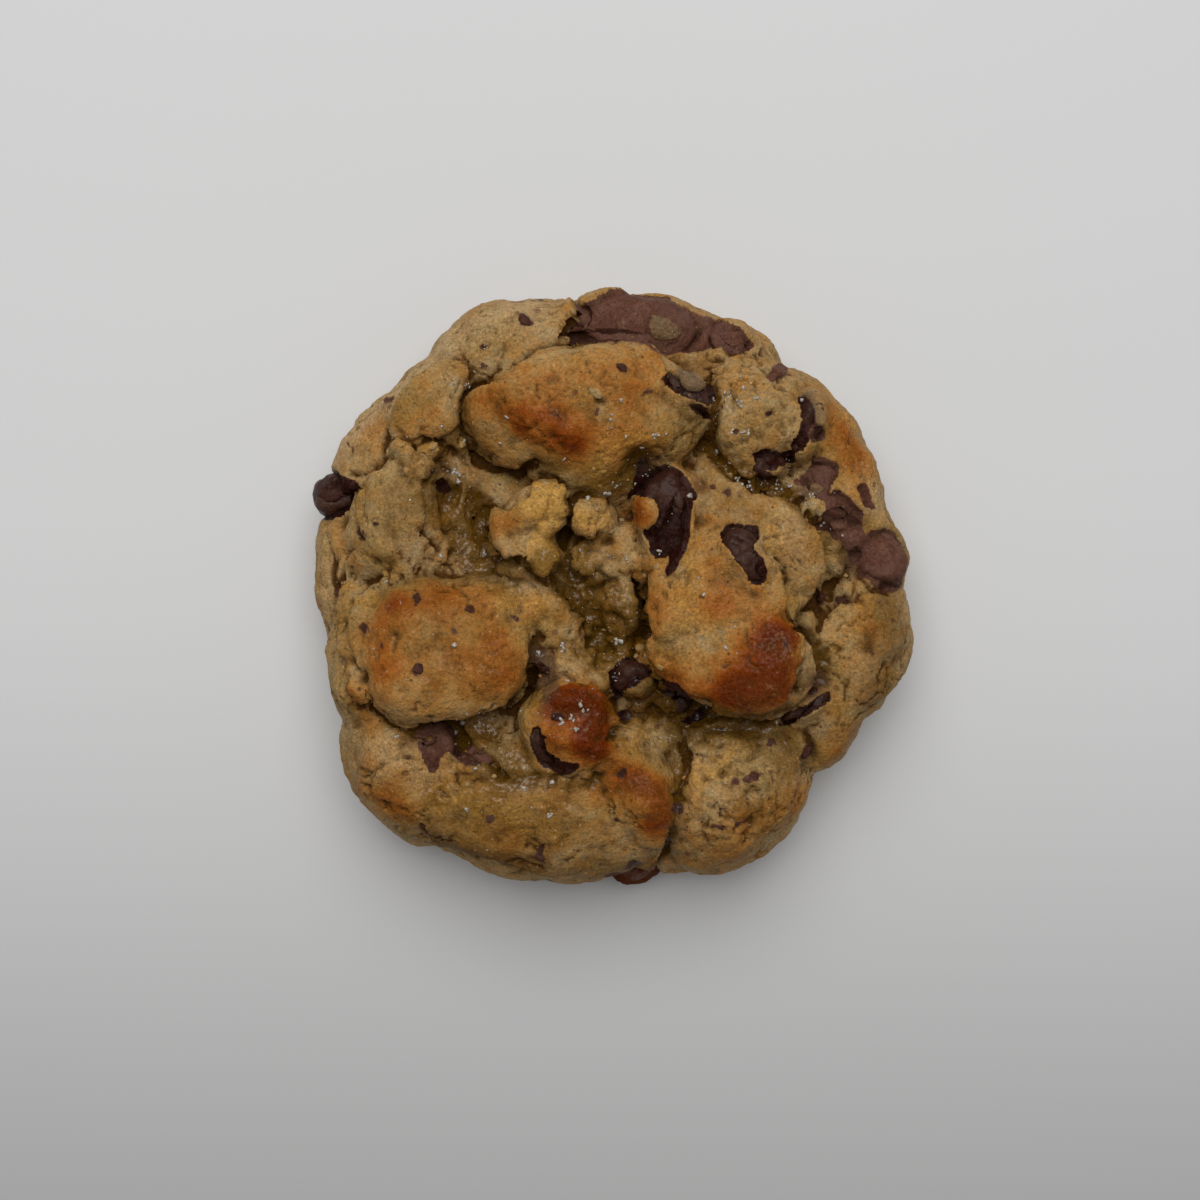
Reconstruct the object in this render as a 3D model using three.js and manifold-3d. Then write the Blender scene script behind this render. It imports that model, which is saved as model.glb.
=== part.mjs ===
// A thick chocolate chunk cookie, torn by hand and baked until its lumps ran together.
// Millimetres, +Z up. The origin is on the tray, under the middle of the cookie; +Y is the far side.
import * as THREE from "three";
import { mergeVertices } from "three/addons/utils/BufferGeometryUtils.js";
import { ImprovedNoise } from "three/addons/math/ImprovedNoise.js";
import Module from "manifold-3d";

const wasm = await Module();
wasm.setup();

// Driving dimensions of the whole cookie.
const CORE_TOP = 24.6; // height that the core's dome would reach
const CORE_DISH = 3.6; // how far the middle of that dome has sunk
const CORE_WAIST = 8; // height where the core is widest
const CORE_FOOT = -4; // how low the core would reach, so that the tray cuts it flat
const RIM_WAIST = 12; // height where the lumps round the rim are widest
const RIM_FOOT = -1; // lowest level of those lumps, just under the tray
const CHUNK_GAP = 0.3; // clearance between a piece of chocolate and its pocket in the dough
const CHIP_SHOWN = 1.5; // how much of a small chip stands above the level where it is widest
const CHIP_DEPTH = 5; // how deep a small chip reaches below its top

// How the dough flows and how uneven it is.
const MERGE_SPAN = 7; // how near to each other two lumps of dough begin to run together
const MERGE_SWELL = 1.75; // how far each of them then swells where they meet
const LUMP_WAVE = 9; // length of the broad unevenness of the dough
const LUMP_SHARE = 1.4; // its height on a lump whose roughness is 1
const CRAG_WAVE = 3.2; // length of the fine unevenness of the dough
const CRAG_SHARE = 0.5; // its height on a lump whose roughness is 1
const TRAY_SIZE = 200; // side of the block below the cookie that cuts it flat
const SAME_POINT = 1e-4; // corners nearer to each other than this are one corner

const unevenness = new ImprovedNoise();

// Reach in the direction `angle`, from reaches given in equal steps of direction, joined by a smooth curve.
function reachAt(reach, angle) {
  const steps = reach.length;
  const place = (((angle / (2 * Math.PI)) % 1) + 1) * steps;
  const step = Math.floor(place);
  const t = place - step;
  const [a, b, c, d] = [-1, 0, 1, 2].map((k) => reach[(step + k + steps) % steps]);
  return b + 0.5 * t * (c - a + t * (2 * a - 5 * b + 4 * c - d + t * (3 * (b - c) + d - a)));
}

// What a lump's measures mean. at: its middle on the tray. turn: the direction of its first reach, in
// degrees, anticlockwise from +X. top, waist and foot: its highest, widest and lowest levels. square: 2 is an
// ellipsoid, more is boxier. slope: rise along +X and +Y. dish: how far its upper middle sinks. rough: how
// uneven it is. merge: how readily it runs into its neighbours, from 0 to 1. facets: how finely it is divided.
const PLAIN_LUMP = { turn: 0, square: 2.5, slope: [0, 0], dish: 0, rough: 0.7, merge: 1, facets: 3 };

// Distance from `point` to the surface of a lump along the line from its middle: below zero inside.
function distanceTo(form, point) {
  const x = point.x - form.at[0];
  const y = point.y - form.at[1];
  const bearing = Math.atan2(y, x) - THREE.MathUtils.degToRad(form.turn);
  const flat = Math.hypot(x, y) / reachAt(form.reach, bearing);
  const sunk = point.z > form.waist ? form.dish * (1 - Math.min(1, flat) ** 2) : 0;
  const height = point.z - form.waist + sunk - form.slope[0] * x - form.slope[1] * y;
  const upright = height / (height > 0 ? form.top - form.waist : form.waist - form.foot);
  const share = (flat ** form.square + Math.abs(upright) ** form.square) ** (1 / form.square);
  return Math.hypot(x, y, height) * (1 - 1 / Math.max(share, 1e-6));
}

// The same geometry with positions only, and one corner where several met.
function bare(geometry) {
  geometry.deleteAttribute("normal");
  geometry.deleteAttribute("uv");
  return mergeVertices(geometry, SAME_POINT);
}

// A rounded lump of dough or chocolate, as a closed geometry. It swells where it meets one of `neighbours`,
// so that they run together, and `grow` makes it larger all round without moving its middle.
function lump(form, neighbours = [], grow = 0) {
  const { at, turn, reach, top, waist, foot, square, slope, dish, rough, merge, facets } = form;
  const geometry = bare(new THREE.IcosahedronGeometry(1, facets));
  const points = geometry.getAttribute("position");
  const bearing = THREE.MathUtils.degToRad(turn);
  const point = new THREE.Vector3();
  const outward = new THREE.Vector3();
  for (let i = 0; i < points.count; i++) {
    point.fromBufferAttribute(points, i);
    const boxy = (Math.hypot(point.x, point.y) ** square + Math.abs(point.z) ** square) ** (-1 / square);
    const flat = Math.hypot(point.x, point.y) * boxy;
    const upright = point.z * boxy;
    const angle = Math.atan2(point.y, point.x);
    const width = reachAt(reach, angle) + grow;
    const rise = (upright > 0 ? top - waist : waist - foot) + grow;
    const x = flat * width * Math.cos(angle + bearing);
    const y = flat * width * Math.sin(angle + bearing);
    const sunk = upright > 0 ? dish * (1 - flat ** 2) : 0;
    const lean = flat ** (square - 1) / width;
    outward.set(lean * Math.cos(angle + bearing), lean * Math.sin(angle + bearing), 0);
    outward.z = (Math.sign(upright) * Math.abs(upright) ** (square - 1)) / rise;
    outward.normalize();
    point.set(at[0] + x, at[1] + y, waist + upright * rise - sunk + slope[0] * x + slope[1] * y);
    const broad = unevenness.noise(point.x / LUMP_WAVE, point.y / LUMP_WAVE, point.z / LUMP_WAVE);
    const fine = unevenness.noise(point.x / CRAG_WAVE, point.y / CRAG_WAVE, point.z / CRAG_WAVE);
    const near = Math.min(MERGE_SPAN, ...neighbours.map((other) => Math.abs(distanceTo(other, point))));
    const swell = merge * MERGE_SWELL * (1 - near / MERGE_SPAN) ** 2;
    point.addScaledVector(outward, rough * (LUMP_SHARE * broad + CRAG_SHARE * fine) + swell);
    points.setXYZ(i, point.x, point.y, point.z);
  }
  return geometry;
}

// A closed geometry as a solid that can be joined and cut.
function solid(geometry) {
  const vertProperties = new Float32Array(geometry.getAttribute("position").array);
  const triVerts = new Uint32Array(geometry.index.array);
  return new wasm.Manifold(new wasm.Mesh({ numProp: 3, vertProperties, triVerts }));
}

// A named mesh from a solid.
function meshOf(name, shape, colour, roughness) {
  const { vertProperties, triVerts } = shape.getMesh();
  const geometry = new THREE.BufferGeometry();
  geometry.setAttribute("position", new THREE.BufferAttribute(vertProperties, 3));
  geometry.setIndex(new THREE.BufferAttribute(triVerts, 1));
  geometry.computeVertexNormals();
  const material = new THREE.MeshStandardMaterial({ color: colour, roughness, metalness: 0 });
  const mesh = new THREE.Mesh(geometry, material);
  mesh.name = name;
  return mesh;
}

// The whole mass under the lumps. Its sixteen reaches follow the outline from inside, and its middle sinks.
const core = {
  at: [0, 0],
  reach: [48.7, 45.8, 47.4, 47.5, 48.4, 50.3, 49.2, 49.6, 48, 48.4, 53, 50.6, 47.4, 48.9, 45.8, 46.8],
  top: CORE_TOP,
  waist: CORE_WAIST,
  foot: CORE_FOOT,
  square: 2.7,
  dish: CORE_DISH,
  rough: 1.5,
  merge: 0.2,
  facets: 8,
};

// Lumps that reach the tray and make the outline, from the far left clockwise as seen from above.
const rimLumps = [
  { at: [-16.6, 40], turn: 20, reach: [12, 7.6, 7, 8.4, 13, 10, 9, 9], top: 24.6, foot: 2 },
  { at: [10.3, 40.8], turn: -15, reach: [18, 7.6, 6.6, 8.4, 16, 10, 8, 10], top: 20.4 },
  { at: [35.2, 24], turn: -55, reach: [14, 7, 6.2, 7, 14, 8, 8, 9], top: 23, waist: 13, foot: 3 },
  { at: [39.6, 7.4], turn: 90, reach: [12, 8, 8, 9, 12, 9, 8.2, 7.4], top: 21 },
  { at: [40.8, -7.6], turn: 90, reach: [11, 8, 8, 11, 12.6, 8.6, 8.1, 9], top: 24, waist: 14, foot: 2 },
  { at: [35.2, -21.6], reach: [4.8, 6.6, 8, 8, 7, 7, 6.6, 5.4], top: 22.4, waist: 15, foot: 5 },
  { at: [20.4, -33.4], reach: [11.6, 12, 11.6, 13, 12, 15, 12.4, 10.4], top: 25.4 },
  { at: [-11.5, -34.2], turn: -4, reach: [20.6, 15, 11, 13, 19, 15, 13.2, 16.6],
    top: 26.6, waist: 13, foot: 2, facets: 4 },
  { at: [-32.2, -29.8], reach: [12, 11, 12, 13, 11.4, 10.2, 11.6, 12.6], top: 25.6 },
  { at: [-38.9, -11], turn: 90, reach: [12, 8, 6.4, 9, 13, 9, 8, 9], top: 24, waist: 14, foot: 4 },
  { at: [-43.1, 2.6], turn: 95, reach: [11, 7, 5.8, 7, 11, 7, 6, 6], top: 17, waist: 9 },
  { at: [-36.9, 22.4], turn: 54, reach: [12, 8, 7.2, 9, 11, 7, 6, 7], top: 20.4, waist: 11, foot: 1 },
];

// Lumps higher up, which stand on the core and overlap the rim, in the same order.
const upperLumps = [
  { at: [-29.2, 29.4], reach: [6.8, 7.8, 7.6, 6.8, 6.6, 8.4, 7.6, 7.8],
    top: 27.4, waist: 15, foot: 6, facets: 2 },
  { at: [-3.6, 27.7], reach: [18.4, 14.2, 10.4, 11.8, 18.6, 13.4, 13, 13],
    top: 32.4, waist: 23, foot: 12, square: 2.6,
    slope: [0, 0.14], rough: 1, facets: 4 },
  { at: [22.1, 28.4], reach: [9.6, 8.8, 8.8, 9.4, 8, 8.8, 10.4, 9.6], top: 28.2, waist: 17, foot: 6 },
  { at: [24, 10], turn: -50, reach: [13.4, 10.6, 9.6, 8, 15.5, 12, 10, 10], top: 29, waist: 17, foot: 6 },
  { at: [21.2, -8.4], reach: [12.6, 12, 12, 12, 12, 12, 12.8, 14.6],
    top: 28, waist: 18, foot: 8, rough: 0.4, merge: 0.6, facets: 2 },
  { at: [17.4, -5], reach: [11.6, 11.7, 15.6, 14.2, 11.4, 12.8, 13.6, 15],
    top: 33.2, waist: 26.5, foot: 16, square: 2.8,
    slope: [0.07, -0.09], merge: 0.3, facets: 4 },
  { at: [4.4, -31.5], turn: 116, reach: [10.4, 6, 5.4, 6.4, 9.6, 5.4, 4.6, 5.6],
    top: 29.4, waist: 20, foot: 10, facets: 2 },
  { at: [-6.7, -21.4], reach: [6.2, 6.8, 6.4, 7, 6.6, 7.2, 7, 8],
    top: 30.2, waist: 22, foot: 12, rough: 1.1 },
  { at: [-10.7, -3.6], reach: [8, 7, 7, 9, 10, 9, 9, 8],
    top: 26.6, waist: 19, foot: 10, rough: 1.2, facets: 2 },
  { at: [-5, -14.5], reach: [7, 5, 6, 7, 7, 6, 6, 6],
    top: 25.8, waist: 19, foot: 10, rough: 1.4, facets: 2 },
  { at: [-26.2, -9.8], reach: [13.2, 13.6, 11, 12.8, 12.6, 13.6, 11, 12.4],
    top: 31.4, waist: 24, foot: 13, square: 2.8,
    slope: [0.03, -0.04], merge: 0.5, facets: 4 },
  { at: [-41, -15.8], reach: [2.6, 2.6, 2.6, 2.6, 2.6, 2.6, 2.6, 2.6],
    top: 25, waist: 21, foot: 16, facets: 1 },
  { at: [-34.8, 12.4], turn: 90, reach: [11.4, 7.2, 6.6, 10, 13, 11, 7, 9.6],
    top: 26.6, waist: 16, foot: 6, rough: 1.1 },
];

// Torn crumbs that stick up out of the sunken middle.
const crumbs = [
  { at: [-13.3, 8.6], reach: [4, 8.6, 6.6, 5, 6.8, 6.2, 5.8, 7],
    top: 30, waist: 25.5, foot: 17, rough: 1.2 },
  { at: [-3.4, 10.8], reach: [3.4, 3.2, 3.2, 3, 3, 3.2, 3.4, 3.4], top: 27.4, waist: 23, foot: 16 },
  { at: [-3.6, 4.4], reach: [3, 3, 2.8, 3, 3, 3, 3, 3], top: 24.6, waist: 20, foot: 16, facets: 1 },
  { at: [1.6, -3.6], reach: [4, 4, 4.6, 4, 3.6, 4.2, 4.8, 4.2], top: 24.8, waist: 19, foot: 14 },
  { at: [2.6, 5.6], reach: [3.2, 3.6, 4.6, 3.6, 3.2, 3.2, 4.2, 3.2], top: 25.8, waist: 20, foot: 14 },
];

// Small chips baked into the surface: place, height of the top, reach along and across, and the direction of
// the first of these two, in degrees.
const smallChips = [
  { at: [-14.9, 44.3], top: 25.6, along: 1.3, across: 1, turn: -20 },
  { at: [-36.2, 31], top: 21.6, along: 1.2, across: 0.9, turn: 40 },
  { at: [1.8, 34.6], top: 32.6, along: 1.2, across: 0.8, turn: 0 },
  { at: [25, 28.4], top: 29.2, along: 1.2, across: 0.9, turn: 60 },
  { at: [26.4, 34.6], top: 26.2, along: 1.3, across: 0.9, turn: 20 },
  { at: [-31.1, -12.7], top: 32.2, along: 1.3, across: 1.2, turn: 70 },
  { at: [-22.9, -3], top: 32, along: 1.1, across: 0.8, turn: 30 },
  { at: [-11.2, -12.7], top: 27.6, along: 1.4, across: 1, turn: 0 },
  { at: [22.4, -30.6], top: 26.6, along: 2.4, across: 0.8, turn: 4 },
  { at: [21, -38], top: 25, along: 1.4, across: 0.8, turn: 15 },
  { at: [-11.6, -44.4], top: 19, along: 1.3, across: 1, turn: 30 },
  { at: [-20.7, -37.6], top: 24, along: 1.1, across: 1, turn: 0 },
];

// Pieces of chocolate, each in a pocket of its own in the dough.
const milk = { colour: 0x5c3d33, roughness: 0.5 };
const dark = { colour: 0x35211d, roughness: 0.35 };
const chunks = {
  milk_slab_far: { ...milk, at: [3.6, 43], turn: -12, reach: [11, 7.4, 5.6, 7.2, 10.8, 9, 8, 9],
    top: 23.4, waist: 16, foot: 7, facets: 3 },
  milk_slab_end: { ...milk, at: [18.9, 40.6], turn: -12, reach: [4.6, 4, 3, 3.4, 3.6, 3.8, 3.6, 4.2],
    top: 21, waist: 17, foot: 12, facets: 1 },
  milk_chunk_right: { ...milk, at: [43.4, 4.6], reach: [4.8, 4.6, 5.2, 4.8, 5, 4.4, 5, 5],
    top: 22.4, waist: 16, foot: 9 },
  milk_patch_right: { ...milk, at: [36.5, 14.4], turn: -45, reach: [5.8, 6, 4.6, 5.8, 8.2, 6, 5.4, 4.4],
    top: 23.6, waist: 18, foot: 12 },
  milk_chunk_crevice: { ...milk, at: [-28.6, -25.6], reach: [3.8, 4.2, 4.6, 4.4, 4, 3.8, 4, 3.6],
    top: 26, waist: 21, foot: 14 },
  milk_chunk_crevice_end: { ...milk, at: [-22.6, -27.4], reach: [4, 3, 2.8, 2, 2, 2.2, 2.6, 3],
    top: 25.6, waist: 22, foot: 15, facets: 1 },
  milk_chunk_near: { ...milk, at: [3.8, -46], reach: [4.8, 4, 4, 4, 5, 4, 3.9, 3.8],
    top: 12, waist: 7, foot: 1.4 },
  dark_chip_left: { ...dark, at: [-45.8, 15.6], reach: [3.9, 3.7, 3.7, 3.5, 3.9, 3.8, 3.6, 3.6],
    top: 18.6, waist: 13, foot: 7 },
  dark_chip_middle: { ...dark, at: [9.2, 11.4], turn: 80, reach: [7.9, 6.4, 5.4, 5.6, 9.6, 5, 4.2, 5.6],
    top: 29, waist: 24, foot: 17 },
  dark_shard: { ...dark, at: [20.6, 5.2], turn: -62, reach: [5.4, 3, 2.4, 3.6, 4.8, 4, 2.4, 2.6],
    top: 34, waist: 31, foot: 27, facets: 1 },
  dark_arc: { ...dark, at: [31.1, 25.6], turn: 78, reach: [6.4, 3.4, 2.7, 3.2, 5.4, 3, 2.6, 3.4],
    top: 27, waist: 22, foot: 15 },
  dark_arc_end: { ...dark, at: [24.6, 19.8], turn: 10, reach: [3.4, 2.6, 2.4, 2.8, 3.6, 2.8, 2.8, 2.8],
    top: 27, waist: 22, foot: 17, facets: 1 },
  dark_chip_far: { ...dark, at: [11.4, 30.8], turn: -35, reach: [5, 3.4, 3, 3.6, 4.6, 3.6, 3, 3.4],
    top: 32.4, waist: 28, foot: 22, facets: 1 },
  dark_chip_brown_lump: { ...dark, at: [-11.4, -23], turn: 110, reach: [5.6, 3.2, 2.6, 3.2, 5.4, 3.2, 2.6, 3],
    top: 29, waist: 24, foot: 17 },
  dark_chip_pit: { ...dark, at: [3.2, -14.2], turn: 5, reach: [4.6, 3.6, 3, 3.2, 4.4, 3.2, 3, 3.4],
    top: 25, waist: 21, foot: 15 },
  dark_chip_pit_end: { ...dark, at: [10, -17.6], turn: -30, reach: [3.2, 2.6, 2.4, 2.6, 3, 2.4, 2.4, 2.4],
    top: 24.4, waist: 20, foot: 15, facets: 1 },
  dark_slab_under: { ...dark, at: [31.2, -18.6], turn: 32, reach: [4.8, 3, 2.5, 3, 4.8, 3, 2.5, 3],
    top: 25.4, waist: 20, foot: 14, facets: 1 },
};

// What the lumps of each kind have in common.
const rimForm = { ...PLAIN_LUMP, waist: RIM_WAIST, foot: RIM_FOOT };
const crumbForm = { ...PLAIN_LUMP, facets: 2 };
const chipForm = { ...PLAIN_LUMP, rough: 0.1, facets: 0 };
const chunkForm = { ...PLAIN_LUMP, square: 2.8, rough: 0.35, facets: 2 };

// The dough: every lump joined, with the tray cut away below.
const forms = [
  { ...PLAIN_LUMP, ...core },
  ...rimLumps.map((form) => ({ ...rimForm, ...form })),
  ...upperLumps.map((form) => ({ ...PLAIN_LUMP, ...form })),
  ...crumbs.map((form) => ({ ...crumbForm, ...form })),
];
const pieces = forms.map((form) => solid(lump(form, forms.filter((other) => other !== form))));
for (const { at, top, along, across, turn } of smallChips) {
  const reach = [along, across, across, across, along, across, across, across];
  const form = { ...chipForm, at, turn, reach, top, waist: top - CHIP_SHOWN, foot: top - CHIP_DEPTH };
  pieces.push(solid(lump(form)));
}
const below = new THREE.BoxGeometry(TRAY_SIZE, TRAY_SIZE, TRAY_SIZE).translate(0, 0, -TRAY_SIZE / 2);
const tray = solid(bare(below));
let dough = pieces.reduce((whole, piece) => whole.add(piece)).subtract(tray);

// The chocolate goes in, each piece in its pocket, and what a pocket cuts loose is dropped.
const cookie = new THREE.Group();
for (const [name, chunk] of Object.entries(chunks)) {
  const form = { ...chunkForm, ...chunk };
  dough = dough.subtract(solid(lump(form, [], CHUNK_GAP)));
  cookie.add(meshOf(name, solid(lump(form)), form.colour, form.roughness));
}
const [largest] = dough.decompose().sort((a, b) => b.volume() - a.volume());
cookie.add(meshOf("dough", largest, 0xa9803f, 0.7));

// The middle of the whole goes over the origin.
const middle = new THREE.Box3().setFromObject(cookie).getCenter(new THREE.Vector3());
for (const mesh of cookie.children) mesh.geometry.translate(-middle.x, -middle.y, 0);

export default cookie;
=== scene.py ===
# %% [markdown]
# # A chocolate chip cookie
# A thick cookie is torn dough: lumps that were pushed together by hand and ran into each other in the
# oven. The solid model already has those lumps and the larger pieces of chocolate at their real size.
# This lesson gives them what an oven gives: a soft skin with folds and grain, browned high places,
# buttery hollows, melted chocolate, and coarse salt on top. We start with the solid model, because every
# piece that follows is measured from it.

import math
import random

import bmesh
import bpy
import numpy as np
from mathutils import Matrix, Vector, noise
from mathutils.bvhtree import BVHTree


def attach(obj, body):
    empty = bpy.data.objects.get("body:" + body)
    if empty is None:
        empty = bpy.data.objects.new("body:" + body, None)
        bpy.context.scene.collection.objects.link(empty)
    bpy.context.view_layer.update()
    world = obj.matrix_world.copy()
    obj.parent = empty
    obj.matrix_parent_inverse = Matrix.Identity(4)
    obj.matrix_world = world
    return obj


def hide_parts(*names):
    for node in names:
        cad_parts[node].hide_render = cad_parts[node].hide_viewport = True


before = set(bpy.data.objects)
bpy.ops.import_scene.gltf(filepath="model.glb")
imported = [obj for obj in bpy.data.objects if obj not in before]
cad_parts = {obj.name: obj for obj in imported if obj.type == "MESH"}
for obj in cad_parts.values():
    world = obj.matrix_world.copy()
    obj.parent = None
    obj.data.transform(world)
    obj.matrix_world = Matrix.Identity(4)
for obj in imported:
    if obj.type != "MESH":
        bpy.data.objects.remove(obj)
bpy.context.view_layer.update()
MM = 0.001
CHOCOLATE = [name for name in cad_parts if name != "dough"]
print("solid model:", len(CHOCOLATE), "pieces of chocolate in one mass of dough")

# %% [markdown]
# ## The camera
# The cookie was photographed from straight above. Its width in the picture gives the distance: the rim
# is seen from a little closer than the tray, so a camera a foot away makes the lumps overlap as they
# do on the real one. Nothing is turned or shifted, so the lens alone sets how large the cookie looks.

# %% Camera
PHOTO_SIDE = 1200  # pixels across the photograph
PHOTO_MIDDLE = PHOTO_SIDE / 2
PHOTO_SCALE = 1728  # pixels that a thing covers when it is as wide as it is far away
CAMERA_PLACE = Vector((-1.8, -1.65, 300)) * MM
SENSOR = 36  # millimetres, the usual full frame

lens = bpy.data.cameras.new("camera_above")
lens.sensor_width = SENSOR
lens.lens = SENSOR * PHOTO_SCALE / PHOTO_SIDE
lens.clip_start = 0.01
lens.clip_end = 20
camera = bpy.data.objects.new("camera_above", lens)
camera.location = CAMERA_PLACE
bpy.context.scene.collection.objects.link(camera)
bpy.context.scene.camera = camera
print("lens:", round(lens.lens, 1), "mm")


# %% [markdown]
# ## Helpers for pieces
# Each finished piece is an object at the origin, with its place in its mesh, and it rides on the one
# body that the cookie has. The first helpers do that, so that no piece is forgotten. The others turn a
# bmesh into a mesh, join a solid's loose triangles into one skin, and apply a modifier.

# %% Pieces and their places
SAME_PLACE = 0.001 * MM  # points closer than this are one point


def triangles_in(mesh):
    """How many triangles a mesh's faces make."""
    return sum(len(face.vertices) - 2 for face in mesh.polygons)


def place_piece(mesh, name, material):
    """Adds a finished piece to the scene and to the cookie."""
    piece = bpy.data.objects.new(name, mesh)
    bpy.context.scene.collection.objects.link(piece)
    mesh.materials.clear()
    mesh.materials.append(material)
    mesh.shade_smooth()
    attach(piece, "root")
    print(name, "has", triangles_in(mesh), "triangles")
    return piece


def mesh_of(form, name):
    """A mesh of what a bmesh holds; the bmesh is done with."""
    mesh = bpy.data.meshes.new(name)
    form.to_mesh(mesh)
    form.free()
    return mesh


def merged_node(form, name):
    """Adds a node's surface to a bmesh, with its loose triangles joined into one skin."""
    form.from_mesh(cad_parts[name].data)
    bmesh.ops.remove_doubles(form, verts=form.verts, dist=SAME_PLACE)
    form.normal_update()


def with_modifier(mesh, kind, **settings):
    """The mesh that one modifier makes of another."""
    carrier = bpy.data.objects.new("carrier", mesh)
    bpy.context.scene.collection.objects.link(carrier)
    modifier = carrier.modifiers.new(kind.lower(), kind)
    for name, value in settings.items():
        setattr(modifier, name, value)
    graph = bpy.context.evaluated_depsgraph_get()
    result = bpy.data.meshes.new_from_object(carrier.evaluated_get(graph))
    bpy.data.objects.remove(carrier)
    return result


# %% [markdown]
# ## Helpers for sculpting
# Sculpting is moving the points of a dense mesh. With numpy all points move at once: we read their
# places as one array, work on it, and write it back. Averaging each point with its neighbours is the
# smooth brush, and a fractal noise read at each point is the texture of a brush.


# %% Points as arrays
def read_rows(items, field, width, kind=float):
    """What a field of each point or edge holds, one row for each."""
    flat = np.empty(len(items) * width, dtype=kind)
    items.foreach_get(field, flat)
    return flat.reshape(-1, width)


def read_points(mesh):
    """The places of a mesh's points."""
    return read_rows(mesh.vertices, "co", 3)


def write_points(mesh, points):
    """Moves a mesh's points to new places."""
    mesh.vertices.foreach_set("co", points.ravel())
    mesh.update()


def read_normals(mesh):
    """The outward direction at each point."""
    return read_rows(mesh.vertex_normals, "vector", 3)


def read_edges(mesh):
    """The two points of each edge."""
    return read_rows(mesh.edges, "vertices", 2, np.int64)


def averaged(values, edges, times):
    """Values at points, each mixed with its neighbours' a number of times."""
    count = len(values)
    degree = np.bincount(edges.ravel(), minlength=count)[:, None]
    ends = np.concatenate([edges[:, 0], edges[:, 1]])
    others = np.concatenate([edges[:, 1], edges[:, 0]])
    columns = values.reshape(count, -1)
    for _ in range(times):
        sums = [np.bincount(ends, weights=column[others], minlength=count) for column in columns.T]
        columns = 0.5 * columns + 0.5 * np.stack(sums, axis=1) / degree
    return columns.reshape(values.shape)


def fractal(points, size, octaves, seed=0):
    """Noise between about -1 and 1 at each point, with lumps of a given size."""
    shift = Vector((seed * 7.3, seed * 3.1, seed * 5.7))
    return np.array([noise.fractal(Vector(p) / size + shift, 1.0, 2.0, octaves) for p in points])


def cells(points, size, seed=0):
    """Distance to the nearest of randomly strewn seeds, about 0 to 1: round lumps with creases between."""
    shift = Vector((seed * 2.9, seed * 8.3, seed * 4.1))
    return np.array([noise.voronoi(Vector(p) / size + shift)[0][0] for p in points])


def ramp(values, low, high):
    """0 below low, 1 above high, and a smooth step between."""
    share = np.clip((values - low) / (high - low), 0, 1)
    return share * share * (3 - 2 * share)


# %% [markdown]
# ## The dough's skin
# The solid dough has flat facets and sharp valleys. A voxel remesh wraps all of it in one even skin, fine
# enough to sculpt. The pieces of chocolate are wrapped in too, a little swollen, so that the dough climbs
# up around each of them, and later it is sunk where the chocolate is bare. The bottom is flat and needs few
# faces, so a Decimate modifier afterwards spends the triangles where the shape is.

# %% Wrap the dough in an even skin
SKIN_STEP = 0.46 * MM  # distance between the points of the skin
SKIN_TRIANGLES = 188_000
CHUNK_SWELL = 0.45 * MM  # how far the dough climbs over the chocolate before it is sunk
FACET_SMOOTHING = 20  # rounds of smoothing that take the facets away
CREASE_SMOOTHING = 30  # rounds that show where the narrow creases are
VALLEY_SMOOTHING = 260  # rounds that show where the broad valleys are
CREASE_DEEPEN = 1.4  # how much deeper the creases get
VALLEY_FILL = 0.22  # how far the broad valleys fill up
FOOT = (1 * MM, 5 * MM)  # heights over the tray at which this shaping starts and is full

form = bmesh.new()
for name in CHOCOLATE:
    merged_node(form, name)
for vert in form.verts:
    vert.co += vert.normal * CHUNK_SWELL
merged_node(form, "dough")
skin = with_modifier(mesh_of(form, "joined"), "REMESH", mode="VOXEL", voxel_size=SKIN_STEP)
print("even skin:", len(skin.vertices), "points")

# %% [markdown]
# Plain smoothing would melt the creases between the lumps as well as the facets. So we smooth to three
# degrees. Where a broader result lies outside a finer one, there is a valley. Broad valleys fill up, as
# dough does when lumps slump together, and the narrow creases in them are pushed in again.

# %% Smooth the facets, fill the valleys and keep the creases
edges = read_edges(skin)
fine = averaged(read_points(skin), edges, FACET_SMOOTHING)
write_points(skin, fine)
outward = read_normals(skin)
middling = averaged(fine, edges, CREASE_SMOOTHING)
broad = averaged(middling, edges, VALLEY_SMOOTHING)
crease = np.maximum(((middling - fine) * outward).sum(axis=1), 0)
valley = np.maximum(((broad - middling) * outward).sum(axis=1), 0)
up = ramp(fine[:, 2], *FOOT)
fine += outward * (up * (VALLEY_FILL * valley - CREASE_DEEPEN * crease))[:, None]
fine[:, 2] = np.maximum(fine[:, 2], 0)
write_points(skin, averaged(fine, edges, 2))
crust = with_modifier(skin, "DECIMATE", ratio=SKIN_TRIANGLES / triangles_in(skin))
crust.name = "crust"
print("deepest valley:", round(valley.max() / MM, 2), "mm; crust:", len(crust.vertices), "points")

# %% [markdown]
# ## Finding a place on the cookie
# Marks such as a crack or a browned patch are placed where the photograph shows them. A ray goes from the
# camera through a pixel, and where it meets the skin is the place. So a mark always lies on the surface,
# whatever its height there, and it looks right from the side too.


# %% From a pixel to a place
TRAIL_STEP = 3  # pixels between the places of a trail
AT_ONCE = 4000  # points that are compared with a trail at a time


def surface_of(mesh):
    """A tree of a mesh's faces that rays can be cast at."""
    form = bmesh.new()
    form.from_mesh(mesh)
    tree = BVHTree.FromBMesh(form)
    form.free()
    return tree


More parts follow.
